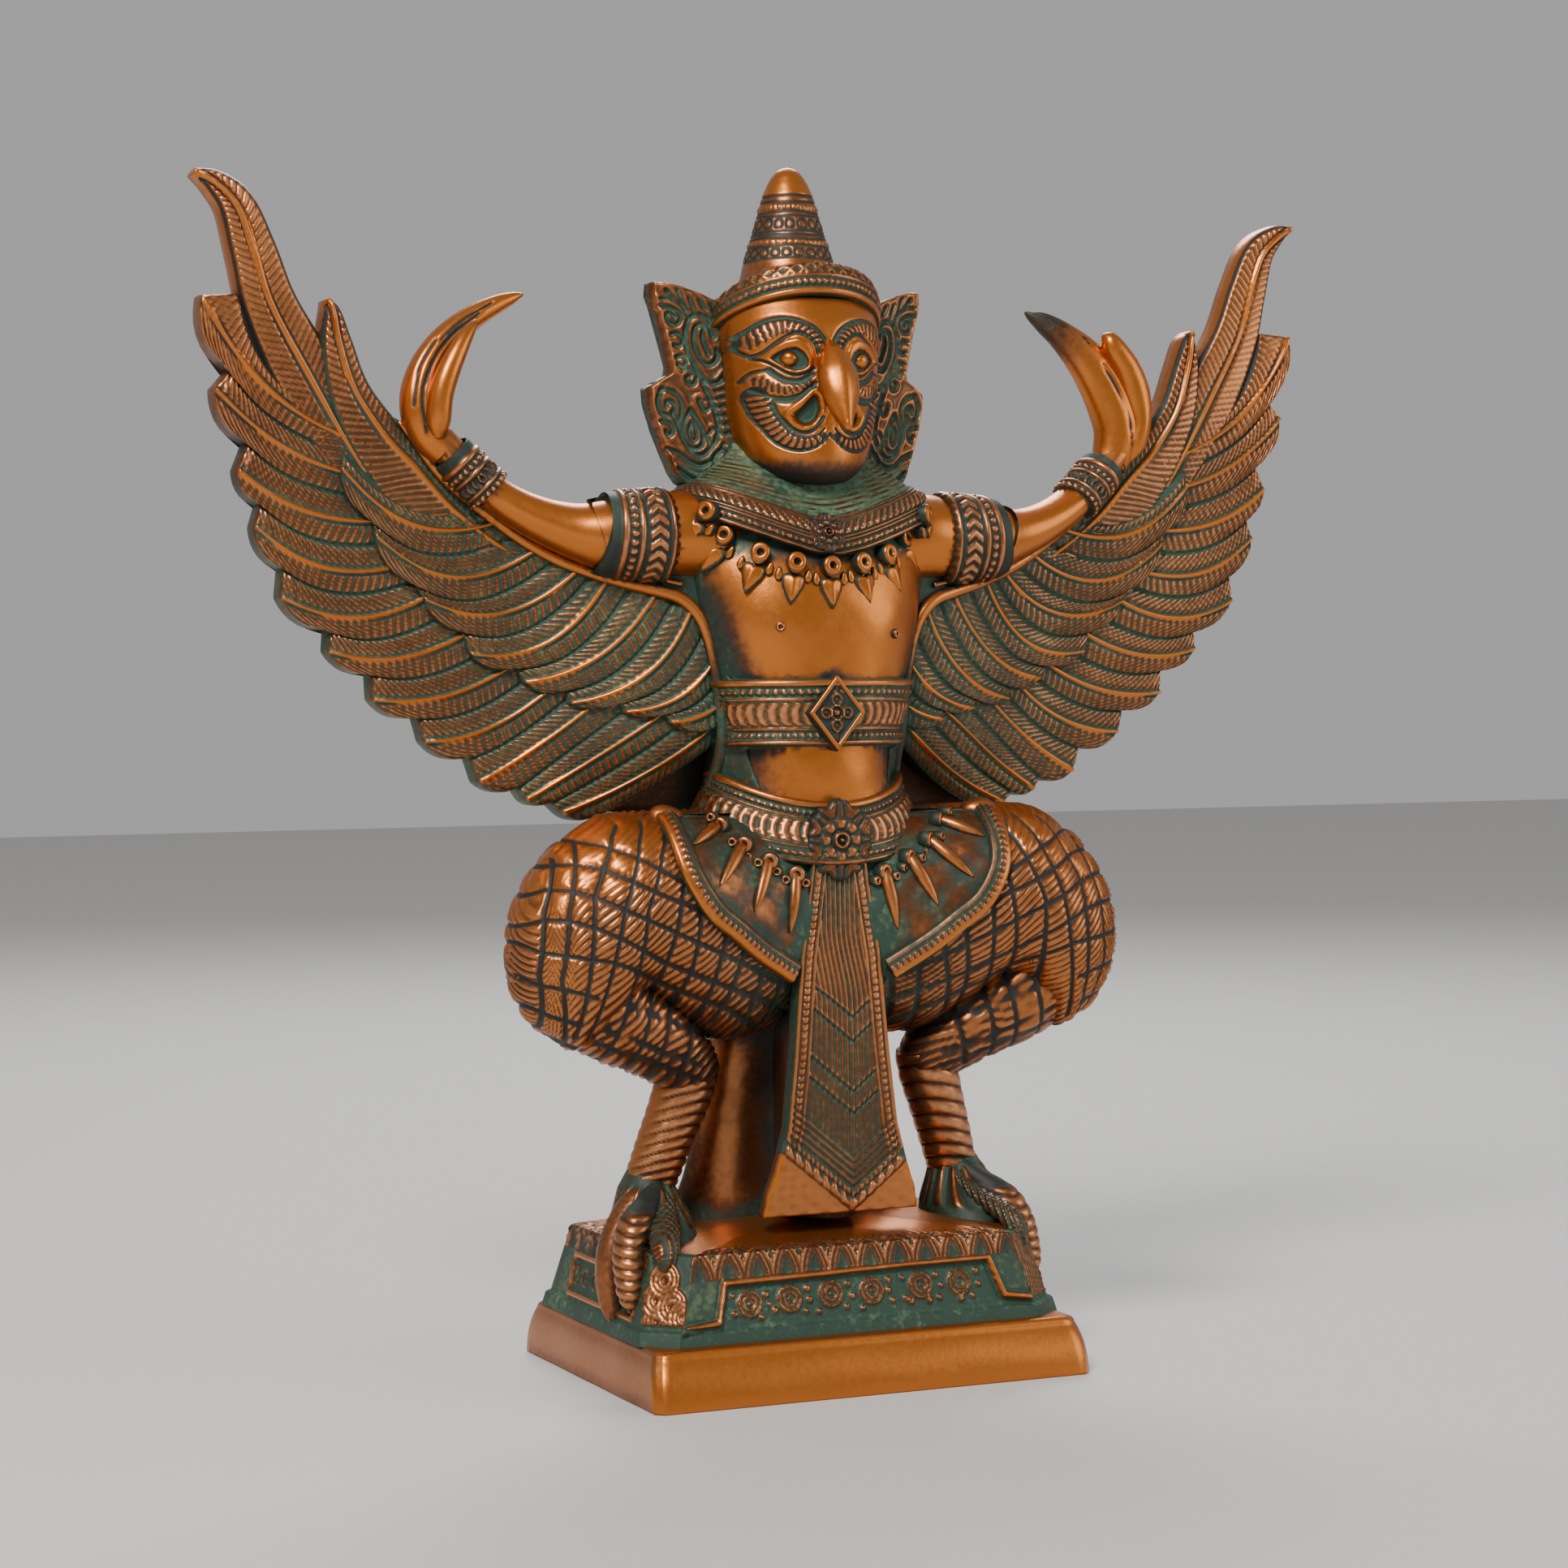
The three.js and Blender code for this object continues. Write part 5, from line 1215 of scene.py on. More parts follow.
hand = {
    # the figure's right hand: all fingers held together in one bend
    "right": [(138, 4, 346, 6.6, 7.6), (143.4, 4.4, 352, 7.4, 8), (146.6, 4.8, 360, 7.6, 8.2),
              (146.6, 5.4, 368.5, 7.2, 8.2), (142.8, 6.2, 378.5, 6.4, 7.4), (135.4, 7.2, 388, 5.6, 6.2),
              (125.8, 8, 395.8, 4.6, 5), (116.4, 8.5, 401, 3.5, 3.6), (109.5, 9, 404, 2.2, 2.4),
              (105.5, 9, 405.4, 0.6, 0.6)],
    "rightCuts": [(0.6, [(147, 352), (148.4, 366), (143.6, 379), (135.4, 389), (124, 397.4)]),
                  (0.5, [(140, 387), (131, 394.6), (119, 401.6)]),
                  (0.5, [(151.6, 362), (149, 376), (142, 387)])],
    "rightThumb": [(142, -1, 351, 3, 3), (142.6, -3, 357, 4.6, 5), (142, -4.6, 366, 4.6, 4.8),
                   (139, -5.2, 375, 4.2, 4.2), (134.4, -4.4, 384, 3.4, 3.4), (129.6, -2.4, 391, 2.1, 2.1),
                   (127.4, -1.4, 394, 0.6, 0.6)],
    # the left one: a thicker palm, and one finger apart along its outer side
    "left": [(138, 4, 346, 7.4, 7), (141, 4, 353, 8.8, 8), (142.2, 4, 361, 9.6, 8.6),
             (140, 5, 371, 10, 8.4),
             (135.4, 6, 381, 9.6, 7.6), (128.4, 7, 389.8, 8, 6.6), (120, 8, 397.3, 5.9, 5),
             (112.4, 8.6, 402.2, 4.2, 3.8), (107, 9, 405, 2.2, 2.4), (104.2, 9, 406.2, 0.6, 0.6)],
    "leftCuts": [(0.5, [(119, 401), (112, 405.4), (106.5, 407)]),
                 (0.5, [(146, 353), (142, 370), (134, 386)]),
                 (0.35, [(112, 403.6), (113.4, 400.6)]), (0.35, [(127, 397), (129, 394.4)])],
    "leftThumb": [(144, 3, 348, 3, 4), (148.6, 2, 355, 4.8, 6), (150.4, 1, 364, 5, 6.2),
                  (149, 0.6, 374, 6, 5.8),
                  (145.6, 0.6, 383.4, 5.7, 5.4), (140.6, 1, 391.2, 5, 4.8), (137.2, 1.6, 396, 3.6, 3.6),
                  (135, 2, 397.6, 0.8, 0.8)],
}


def handShells(side):
    # Palm and fingers in one bend along a path, with cut lines between the fingers
    palm = limb(hand[side], 84, 54, bias=0.2, lift=(0, 1, 0))
    x, z = palm[..., 0], palm[..., 2]
    cuts = np.zeros(x.shape)
    for half, path in hand[side + "Cuts"]:
        cuts = np.maximum(cuts, furrow(nearest(along(path, np.linspace(0, 1, 14)), x, z)[0], half))
    dull = 0.0 if side == "right" else 1 - fade(x, 106, 140)  # the left fingertips are dark
    shells = [shell(palm, -0.9 * cuts, 0.36 - 1.2 * cuts - 0.6 * dull, 0.92 - 0.5 * cuts - 0.6 * dull,
                    0.2 + 0.5 * dull)]
    thumb = limb(hand[side + "Thumb"], 44, 26, lift=(0, 1, 0))
    shells.append(shell(thumb, 0.0, 0.38, 0.9, 0.15))
    return shells


castPair("arm", armShells())
castPiece("handRight", handShells("right"), mirrored=True)
castPiece("handLeft", handShells("left"))

# Head

head = {
    "rows": [(334.4, -11, 7, 8), (335.6, -12.4, 12.6, 15), (338.8, -11, 18.2, 21.4), (345, -7.5, 24, 26.4),
             (358, -3.5, 28.8, 30.4), (374, -3, 30.3, 31.4), (392, -2, 31.4, 31), (404, 2, 31.4, 30)],
    # lines cut into the face, each with its half width; the other half of the face mirrors them
    "cuts": [(0.8, [(29.6, 389.3), (26.1, 392.3), (23.3, 394.2), (19.2, 395.6), (14, 395.6), (8.8, 393.9),
                    (4.6, 391.2),
                    (2, 387.6)]),
             (0.55, [(30, 386), (28.1, 383.2), (26, 382), (23, 383.1), (21.2, 384.6), (17.8, 387.4),
                     (13.8, 389.7),
                     (10.8, 390), (7.8, 388.3), (5.6, 385.8), (4.6, 382.6)]),
             (0.5, [(26.2, 381), (23.4, 380.4), (21, 379), (17.4, 376.4), (15, 375), (12.2, 374.6),
                    (8.6, 375.6),
                    (6.2, 377)]),
             (1.15, [(21.4, 376.6), (19.4, 374.6), (16.6, 372.8), (13.4, 372.2), (10.3, 372.6),
                     (7.2, 374.6)]),
             (0.45, [(28.4, 372.8), (26.6, 375.5), (24.3, 376.4), (21.4, 376.6)]),
             (0.6, [(26.2, 369.6), (23.1, 367.7), (19.8, 366.5), (16.2, 366.1), (12.2, 366.9),
                    (8.3, 369.4), (5.6, 371.8)]),
             (0.9, [(19.5, 365.4), (15.5, 364.9), (11.6, 366.1), (8.2, 369.2), (6.4, 370.4)]),
             (0.75, [(20.2, 364), (18.2, 359.5), (15.6, 356.2), (12.2, 353.6), (8.2, 353.4), (5, 355.6),
                     (3, 359)]),
             (0.5, [(27.6, 366.2), (25.8, 360), (22.4, 354.4), (19.1, 349.8), (15, 347.3), (10.8, 346.6),
                    (6, 347.8),
                    (1.6, 351), (0, 353)]),
             (0.35, [(19, 360.5), (16.4, 356), (13.1, 352.4), (8.2, 351.4), (4.2, 352.8), (2, 355)])],
    "combs": [(2.75, 2.15, 0.12, [(28.4, 387.2), (24.5, 388.8), (20.5, 391.2), (15.5, 392.8), (10, 391.9),
                                  (6, 388.9), (3.8, 385.6)]),
              (1.9, 1.9, -0.2, [(25, 373.2), (20.8, 370.7), (16.5, 369.1), (12.5, 369.6), (8.6, 371.6)]),
              (2.7, 2.3, 0.05, [(24.8, 367.5), (22.6, 360.4), (19.6, 355.3), (16.3, 351.7), (12, 349.6),
                                (7.5, 349.4), (3, 351.4)])],
    "pupil": (15, 380.6), "pupilHalf": 2.75,
    "iris": [(21, 381.1), (18.8, 382.9), (15.7, 384.7), (12.3, 384.9), (9.7, 383), (8.2, 380.3),
             (8.4, 377.6), (10, 376.6),
             (12.6, 376), (15.8, 376.8), (18.5, 378.9), (21, 381.1)],
    "eye": [(26, 381.2), (22.8, 382.6), (20.2, 384.8), (16.2, 387.3), (11.8, 388.3), (8.8, 386.8),
            (7, 383.6), (6.8, 379.6),
            (7.2, 376.8), (9.6, 375.4), (12.2, 374.8), (15, 375.2), (17.4, 376.8), (21, 379.2),
            (26, 381.2)],
    "mouth": [(14.2, 360), (11.2, 362.6), (8.4, 365.8), (6.2, 368), (4.2, 366.4), (3.4, 362),
              (4.6, 358.4), (7, 356.2),
              (10, 355.6), (12.4, 357), (14.2, 360)],
}


def within(path, a, b):
    # Distance inside a closed line, negative outside: the sign comes from the turns it makes round
    path = np.asarray(path, float)
    distance = nearest(path, a, b)[0]
    angle = [np.arctan2(q - b, p - a) for p, q in path]
    turned = sum((after - before + np.pi) % (2 * np.pi) - np.pi
                 for before, after in zip(angle[:-1], angle[1:]))
    return np.where(np.abs(turned) > np.pi, distance, -distance)


def headShells():
    # Egg-shaped head with the mask's lines cut in by their distances, combs of slits along the
    # brows and moustache, eyes and mouth by the distance inside their outlines, and the neck
    p = head
    rings = ovals(p["rows"], 132, 184, bias=0.55)
    x, y, z = (rings[..., k] for k in range(3))
    side = np.abs(x)
    front = fade(-y, -6, 3)
    cut = np.zeros(x.shape)
    for half, path in p["cuts"]:
        cut = np.maximum(cut, furrow(nearest(along(path, np.linspace(0, 1, 3 * len(path))), side, z)[0],
                                     half))
    cut = cut * front
    slit, comb = np.zeros(x.shape), np.zeros(x.shape)
    for half, pitch, lean, path in p["combs"]:
        distance, run, turn = nearest(along(path, np.linspace(0, 1, 20)), side, z)
        d = distance * turn
        share = fade(half * (1.35 - 0.55 * run / run.max()) - np.abs(d), 0, 0.5) * front
        wave = np.cos((run / pitch + lean * d) * 2 * np.pi)
        slit = np.maximum(slit, share * fade(wave, 0.1, 0.9))
        comb = np.maximum(comb, share)
    inEye, inIris, inMouth = (within(p[key], side, z) for key in ("eye", "iris", "mouth"))
    rim = fade(inEye, -0.2, 0.7) * (1 - fade(inIris, -0.2, 0.4))
    iris = fade(inIris, 0, 0.6) * front
    r = np.hypot(side - p["pupil"][0], z - p["pupil"][1]) / p["pupilHalf"]
    ball = np.sqrt(np.clip(1 - r ** 2, 0, 1))
    lips = mound(-inMouth - 1.2, 1.25)
    mouth = fade(inMouth, 0, 1.6) * front
    brow = np.exp(-((z - 389) / 9) ** 2 - ((side - 14) / 16) ** 2)
    relief = 1.0 * brow + 0.5 * comb - 0.75 * slit - 1.0 * cut + 1.0 * rim - 1.1 * iris + 2.3 * ball
    relief += 0.9 * lips - 2.4 * mouth
    tone = 0.36 - 1.25 * slit - 1.5 * cut + 0.25 * rim - 1.5 * iris * (r > 1) + 0.3 * ball + 0.2 * lips
    tone -= 0.75 * mouth + 0.35 * mouth * fade(z - 0.8 * side, 350, 356)
    # painted shade under the chin and round the edges of the face; the chin is also less polished and a
    # little greener
    chinShade = 1 - fade(z, 337, 350)
    templeShade = fade(side, 25, 31) * (1 - comb)
    relief, tone = relief * front, tone * front + 0.1 * (1 - front) - 0.75 * chinShade - 0.42 * templeShade
    rough = np.maximum(np.maximum(cut, iris * (r > 1)), mouth)
    polish = 0.93 - 0.35 * comb - 0.85 * rough - 0.5 * (1 - front) - 0.45 * chinShade
    green = 0.12 + 0.9 * rough + 0.25 * comb + 0.15 * chinShade + 0.6 * (1 - front)
    shells = [shell(rings, relief, np.clip(tone, -1, 1), np.clip(polish, 0, 1), np.clip(green, 0, 1))]
    # neck spreading under the jaw into the collar, with ring lines; its green runs over 1, so it turns
    # pale: chalky verdigris with painted sheen
    neck = vees([(331, -3, 48, 31, 20), (334, -1, 45.6, 28.6, 17.5), (337, 0, 41.6, 26.4, 14),
                 (341, 2, 36.4, 23.6, 10), (346, 4, 31, 21, 6), (356, 6, 27, 19, 3)], 44, 120)
    ringSpot = np.cumsum(np.linalg.norm(np.diff(neck, axis=0, prepend=neck[:1]), axis=2), 0)
    ringSpot = ringSpot * 0.75 + 0.25 * ringSpot[:, 60:61]
    lines = np.cos(ringSpot * 2 * np.pi / 2.3 + 0.9 * np.sin(neck[..., 0] * 0.13))
    patches = np.sin(neck[..., 0] * 0.37 + 1) * np.sin(neck[..., 2] * 0.6 + neck[..., 1] * 0.3)
    shells.append(shell(neck, 0.3 * lines * (0.75 + 0.25 * patches),
                        -0.1 + 0.5 * lines * (0.7 + 0.3 * patches), 0.1, 1.6))
    return shells


def beakShells():
    # Hooked beak: ovals along its bent ridge, keeled along the ridge
    rows = [(-26, 387, 1.6, 2), (-32.6, 385, 3.2, 3.2), (-37, 380.6, 5.2, 4.6), (-40.6, 374.4, 7.6, 6),
            (-43.2, 367.6, 7.4, 6), (-45.4, 361.6, 5.4, 4.8), (-47.8, 356.8, 2.9, 3),
            (-49.6, 354.4, 1.3, 1.5),
            (-50.2, 353.2, 0.3, 0.3)]
    rings = limb([(0, y, z, half, deep) for y, z, half, deep in rows], 60, 44, lift=(0, -1, 0.3))
    x, y, z = (rings[..., k] for k in range(3))
    ridge = furrow(x, 2.2) * fade(-y, 36, 40)
    edge = furrow(np.abs(x) - 0.9 * np.interp(z, (351, 360, 374, 387), (0.5, 4.8, 7.6, 3)), 0.8)
    return [shell(rings, 0.6 * ridge, 0.44 - 0.3 * edge, 0.97, 0.1)]


ear = {
    "outer": [(334.5, 42), (336, 46), (340, 48.5), (348, 51.6), (356, 54.4), (366, 57), (372, 57.4),
              (375, 53),
              (377, 49.6), (380, 49.2), (390, 51.6), (400, 54), (407, 56), (411.5, 55.6)],
    "inner": [(334.5, 30), (338, 26), (345, 24), (400, 25), (404.5, 33), (407.5, 39), (410, 46),
              (411.5, 52)],
    "cuts": [(0.8, [(34.5, 395.7), (35.8, 397.9), (39, 399.3), (42.1, 398.2), (43.7, 394.6), (44, 390.3),
                    (43.1, 385.4),
                    (40.7, 380.5), (38.2, 376.2), (35.1, 373.4), (31.9, 374), (29.8, 376.7)]),
             (0.8, [(33.8, 390.9), (35.6, 394.7), (38, 395.7), (40.1, 394.6), (40.9, 391.4),
                    (40.7, 387.6), (39.1, 383.2),
                    (36.6, 380.5), (33.9, 381.1), (32.3, 383.8), (32.6, 386)]),
             (0.6, [(37.5, 393.6), (38, 390.8), (37, 388.1), (35.5, 384.3)]),
             (0.6, [(53.3, 402.8), (49.4, 402), (45.8, 400.1), (45.8, 396.8), (47.9, 395.4),
                    (50.3, 396.8), (50.7, 399.2),
                    (49.2, 400.1), (47.9, 398.4)]),
             (0.5, [(53, 405), (49.4, 405.2), (45.7, 403.3), (43.7, 400.1), (42.9, 397.9)]),
             (0.5, [(50.9, 408.4), (47.8, 405.4)]), (0.5, [(47, 408.8), (44.7, 403.4), (43.1, 400.6)]),
             (0.5, [(42.6, 405.6), (41, 400.6)]), (0.5, [(38.9, 405), (36.8, 401.3)]),
             (0.5, [(34.5, 403), (33, 399)]),
             (0.6, [(49, 391.9), (46.9, 392.3), (44.9, 389.8), (45.9, 387.4), (48, 387.8)]),
             (0.6, [(47.4, 383.2), (44.9, 384), (43.4, 381.6), (44.9, 379.8), (46.8, 380.6)]),
             (0.6, [(45, 378.3), (42.3, 378.9), (40, 376.2), (40.8, 373.4), (42.9, 373.4), (43.7, 375.6),
                    (42.4, 376.3)]),
             (0.75, [(43, 385), (41.3, 381), (38.2, 374.5), (35.1, 367.4), (32.6, 359.3), (32.6, 353.8),
                     (35.3, 348.9),
                     (38.5, 346.4), (42.1, 347.6), (45.2, 352.8), (46.9, 357.4), (48.9, 363)]),
             (0.7, [(52.7, 371.5), (54.2, 367.4), (53.5, 363.1), (51.4, 361.3), (48.3, 362),
                    (48.1, 365.8), (50.7, 366.8),
                    (51, 364.7)]),
             (0.6, [(52.9, 371.4), (48.7, 370.4), (45.9, 366.9), (45.7, 362.5), (47, 357.5)]),
             (0.6, [(53.4, 359.3), (50.4, 358.9), (48.7, 356), (50.3, 353.7), (51.4, 355.5)]),
             (0.7, [(42.5, 363.6), (45, 358), (44.6, 352.2), (41.6, 348.9), (38.5, 350.2), (37.9, 354.9),
                    (40.3, 359.8),
                    (42.5, 363.6)]),
             (0.6, [(42.2, 358.9), (43.2, 355.3), (42, 352), (40.4, 352.4), (40.2, 355.5), (41.4, 358.2)]),
             (0.5, [(39.3, 367.4), (37.6, 363.3), (35.4, 364.2), (35.2, 366.9), (36.9, 367.4)]),
             (0.5, [(32.1, 355.5), (34.2, 356.4), (36.5, 353.8), (35.8, 350.9)]),
             (0.6, [(50.8, 348.9), (45.8, 346.6), (41.7, 343.4), (37.5, 342.9), (33.2, 346),
                    (30.4, 350.6)]),
             (0.6, [(47, 341.3), (41.7, 337.3), (36.3, 337.3), (30.8, 340.9), (28.6, 345.1),
                    (30.7, 348.4), (33.9, 346.6),
                    (33.6, 343.1), (36, 340.5)]),
             (0.45, [(27, 372), (33.5, 370.5)]), (0.45, [(27, 369), (34.5, 367.2)]),
             (0.45, [(27, 365.6), (33.6, 364.2)]),
             (0.45, [(27, 362), (32.6, 361)]), (0.45, [(27, 358.6), (31.6, 357.8)]),
             (0.45, [(27, 355), (31.4, 354.4)])],
}


def earShell():
    # Flat ear between its inner and outer edge at each height, cut with curling lines
    z = np.linspace(334.6, 411.5, 132)[:, None]
    outer = np.interp(z, *np.array(ear["outer"]).T)
    inner = np.interp(z, *np.array(ear["inner"]).T)
    u = np.linspace(0, 1, 60)[None]
    x = inner + (outer - inner) * u
    z = z + 0 * x
    cut, ridge = np.zeros(x.shape), np.zeros(x.shape)
    for half, path in ear["cuts"]:
        distance = nearest(along(path, np.linspace(0, 1, 2 * len(path))), x, z)[0]
        cut = np.maximum(cut, furrow(distance, half))
        ridge = np.maximum(ridge, furrow(distance - 1.7, 0.8))
    edge = np.minimum(outer - x, np.minimum(z - 333.5, 411.9 - z))
    rim = furrow(edge - 1.2, 1.2)
    relief = 0.3 + 0.55 * ridge + 0.5 * rim - 1.15 * cut
    low = 1 - fade(z, 338, 352)
    tone = -0.04 + 0.4 * ridge + 0.4 * rim - 1.4 * cut - 0.45 * low
    y = -3.9 + 0.3 * (x - 28) - relief + 1.4 * (1 - fade(edge, 0, 1.1))
    rings = sheet(np.stack([x, y, z], -1), 4, 4)
    rings[:, x.shape[1]:, 1] += 0.3 * (rings[:, x.shape[1]:, 0] - 28)
    return sheetShell(x, rings, (np.clip(tone, -1, 1), -0.25), (0.3, 0.22),
                      (0.9 + 0.35 * low + 0.35 * cut, 1.0))


castPiece("head", headShells() + beakShells())
castPair("ear", [earShell()])

crown = {
    "axis": 4,
    # height at the sides, radius, and how much higher the front stands
    "rows": [(389.6, 30, 15), (390.2, 33.4, 15), (391.2, 34.4, 15.2), (396.4, 34.2, 15.6),
             (398.4, 33.6, 15.8),
             (401.4, 32, 15.6), (402.8, 29.6, 14.4), (404.4, 25.6, 12), (407.6, 21.8, 8),
             (411.6, 19.6, 4.6),
             (416, 18.3, 2), (422.3, 17, 0), (429, 14.8, 0), (435.6, 12.8, 0), (445.6, 9.9, 0),
             (450, 8.0, 0), (453, 6.3, 0),
             (455, 4.7, 0), (456.3, 2.9, 0), (456.9, 0.8, 0)],
    "circlet": [("cord", 391.6, 1.15, 0), ("beads", 394.6, 1.15, 2.5), ("cord", 396.7, 0.65, 0)],
    "cone": [("beads", 440.9, 0.85, 1.9), ("beads", 427.2, 0.8, 1.8)],
    "curls": [(13, 2, 434.2, 431.8, 436.8), (16, 0, 422.8, 420.4, 425.2)],
    "grooves": (445.4, 442.8, 438.9, 437.3, 431.4, 430, 428.6, 425.6, 420.2),
}


def ring01(level, foot, top):
    # 1 between two heights, fading over half a millimetre
    return fade(level, foot, foot + 0.5) * (1 - fade(level, top - 0.5, top))


def crownShells():
    # Circlet and cone: circles at even steps along their profile, the circlet's front lifted by
    # the cosine of the turn, with strips, scrolls and grooves laid by height and turn
    rows = np.array(crown["rows"])
    reach = np.r_[0, np.cumsum(np.hypot(np.diff(rows[:, 0]), np.diff(rows[:, 1])))]
    spots = np.interp(np.linspace(0, reach[-1], 130), reach, np.arange(len(rows)))
    line = np.stack([np.interp(spots, np.arange(len(rows)), rows[:, k]) for k in range(3)], -1)
    turn = angles(180, 0.4)[None]
    x = line[:, 1:2] * np.sin(turn)
    y = crown["axis"] - line[:, 1:2] * np.cos(turn)
    lift = np.where(np.cos(turn) > 0, np.maximum(np.cos(turn), 0) ** 0.85, 0.15 * np.cos(turn))
    z = line[:, 0:1] + lift * line[:, 2:3]
    rings = np.stack([x, y, z], -1)
    level = line[:, 0:1] + 0 * turn
    s = turn * 34 + 0 * level
    low = 1 - fade(level, 402.6, 404)
    circlet = strips(s, level, crown["circlet"])
    step = (s + 2.6) % 5.2 - 2.6
    arch = np.hypot(step, (level - 399) * 1.25)
    scroll = ringLines(arch, (2.0,), 0.7) * (level < 401.4) + 0.7 * mound(arch, 0.8)
    scroll += 0.7 * furrow(np.hypot(np.abs(step) - 2.6, (level - 400.9)), 0.8)
    scroll *= fade(level, 397.2, 397.6) * low
    cone = strips(turn * 11 + 0 * level, level, crown["cone"])
    grooves = sum(furrow(level - mark + 0.25 * np.sin(turn * 3 + mark), 0.34) for mark in crown["grooves"])
    for radius, start, middle, foot, top in crown["curls"]:
        curl = np.hypot((turn * radius + 0 * level + start) % 4.6 - 2.3, (level - middle) * 0.9)
        grooves = grooves + furrow(curl - 1.7, 0.4) * ring01(level, foot, top)
    relief = circlet + 1.0 * scroll + 0.3 * cone - 0.4 * grooves - 0.6 * furrow(level - 393.1, 0.4) * low
    high = 1 - low
    bare = fade(level, 445.8, 446.4)
    tone = low * (-0.7 + 1.45 * circlet + 1.35 * scroll) + high * (0.1 + 0.45 * cone - 1.2 * grooves)
    tone -= 0.6 * (1 - fade(level, 406, 413)) * high
    polish = 0.32 + 0.2 * high + 0.4 * bare + 0.4 * mound(level - 391.6, 1.6)
    green = 0.75 - 0.3 * high - 0.3 * bare + 0.2 * fade(np.abs(turn), 1.2, 1.8) * low
    return [shell(rings, relief, np.clip(tone, -1, 1), np.clip(polish, 0, 1), np.clip(green, 0, 1))]


castPiece("crown", crownShells())

# The plates that carry the wings

wingPlate = {
    "rib": [(155, 357), (147, 347), (138, 337), (128, 328.5), (118, 321), (108, 314), (96, 307), (84, 302),
            (72, 298), (61, 295), (52.5, 292), (46, 286), (42, 277), (39.4, 265.4), (37.8, 253.8),
            (36.4, 240), (36.6, 229), (38.5, 218)],
    "innerRib": [(140, 345), (128, 335), (112, 322), (96, 311), (80, 305), (62, 300), (52, 297.4)],
    "armpit": [(146, 356), (134, 347), (122, 338), (112, 330), (100, 321), (88, 315), (76, 312),
               (64, 311), (52, 311),
               (40, 311), (20, 300), (16, 285), (14, 270), (14, 255), (14, 242), (10, 230), (6, 214)],
    "lap": [(212, 25), (220, 26), (228, 27.6), (235, 29.4), (241, 33.4), (250, 36), (262, 36.4),
            (275, 35.4), (284, 38),
            (292, 41)],
}


def bodyFront(x, z):
    # Front of the torso, and of the belly belt where that lies over it
    torso, belt = np.array(torsoRows), np.array(belts["belly"])
    onBelt = (z > belt[0, 0]) & (z < belt[-1, 0])
    rows = (np.where(onBelt, np.interp(z, belt[:, 0], belt[:, k]), np.interp(z, torso[:, 0], torso[:, k]))
            for k in (1, 2, 3))
    return ovalFront(x, *rows)


def fillet(x, z, plane):
    # The smooth hollow leaves the rib and laps over the torso's side up to an edge line, then
    # dips under the surface: a straight run between the two depths
    edge = np.interp(z, *np.array(wingPlate["lap"]).T)
    share = np.clip((x - edge) / np.maximum(38.4 - edge, 1), 0, 1)
    lapped = np.where(x > edge, (bodyFront(edge, z) - 0.5) * (1 - share) + plane * share,
                      bodyFront(x, z) + 3)
    weight = fade(z, 212, 219) * (1 - fade(z, 286, 300)) * (1 - fade(x, 39, 42))
    return lapped * weight + plane * (1 - weight)


def platePath(path, other, count, across, depth):
    # Sheet between two lines of points, t along both
    t = np.linspace(0, 1, count)
    a, b = along(path, t)[:, None], along(other, t)[:, None]
    share = np.linspace(0, 1, across)[None, :, None]
    flat = a + (b - a) * share
    return np.stack([flat[..., 0], depth + 0 * flat[..., 0], flat[..., 1]], -1)


def plateShells():
    # Smooth hollow between rib and torso, the two ribs, and the plate behind them with grooves
    # at its back, a sharpened cosine across them
    armpit = platePath(wingPlate["rib"], wingPlate["armpit"], 90, 54, 6.5)
    x, z = armpit[..., 0], armpit[..., 2]
    armpit[..., 1] = fillet(x, z, armpit[..., 1] - forward(x, z)) + 0.12 * np.sin(x * 0.9) * np.sin(z * 0.8)
    rings = sheet(armpit, 13, 6)
    shells = [{"rings": rings, "layers": np.zeros(rings.shape) + [-0.15, 0.3, 0.85]}]
    for path, radius, depth in ((wingPlate["rib"], 2.5, 5.4), (wingPlate["innerRib"], 1.1, 5.8)):
        line = along(path, np.linspace(0, 1, 70))
        level = depth - forward(line[:, 0], line[:, 1])
        if radius < 2:
            level = fillet(line[:, 0], line[:, 1], level) - 0.4
        width = radius * (0.3 + 0.7 * fade(np.arange(70), 0, 8))
        tube = limb(np.column_stack([line[:, 0], level, line[:, 1], width, width]), 110, 12,
                    lift=(0, -1, 0))
        low = 1 - fade(tube[..., 2], 240, 290)
        shells.append(shell(tube, 0.0, 0.35 - 0.4 * low, 0.7 - 0.5 * low, 0.3 + 0.6 * low))
    web = platePath([(196, 388), (172, 345), (142, 305), (118, 274), (98, 246), (84, 214)],
                    [(172, 368), (140, 350), (96, 318), (30, 312), (0, 270), (0, 204)], 54, 30, 11.6)
    rings = sheet(web, 21.6, 1)
    s = rings[..., 0] * 0.5 - rings[..., 2] * 0.7
    behind = fade(rings[..., 1], 19, 21)
    groove = np.cos(s * 2 * np.pi / 9) ** 10 * behind
    rings[..., 1] -= 0.5 * groove
    tone = 0.1 - 0.8 * groove - 0.3 * (1 - behind)
    layers = np.stack([tone, np.full(tone.shape, 0.4), 0.6 + 0 * tone], -1)
    shells.append({"rings": rings, "layers": layers})
    return shells


castPair("wingPlate", plateShells())

# Metal

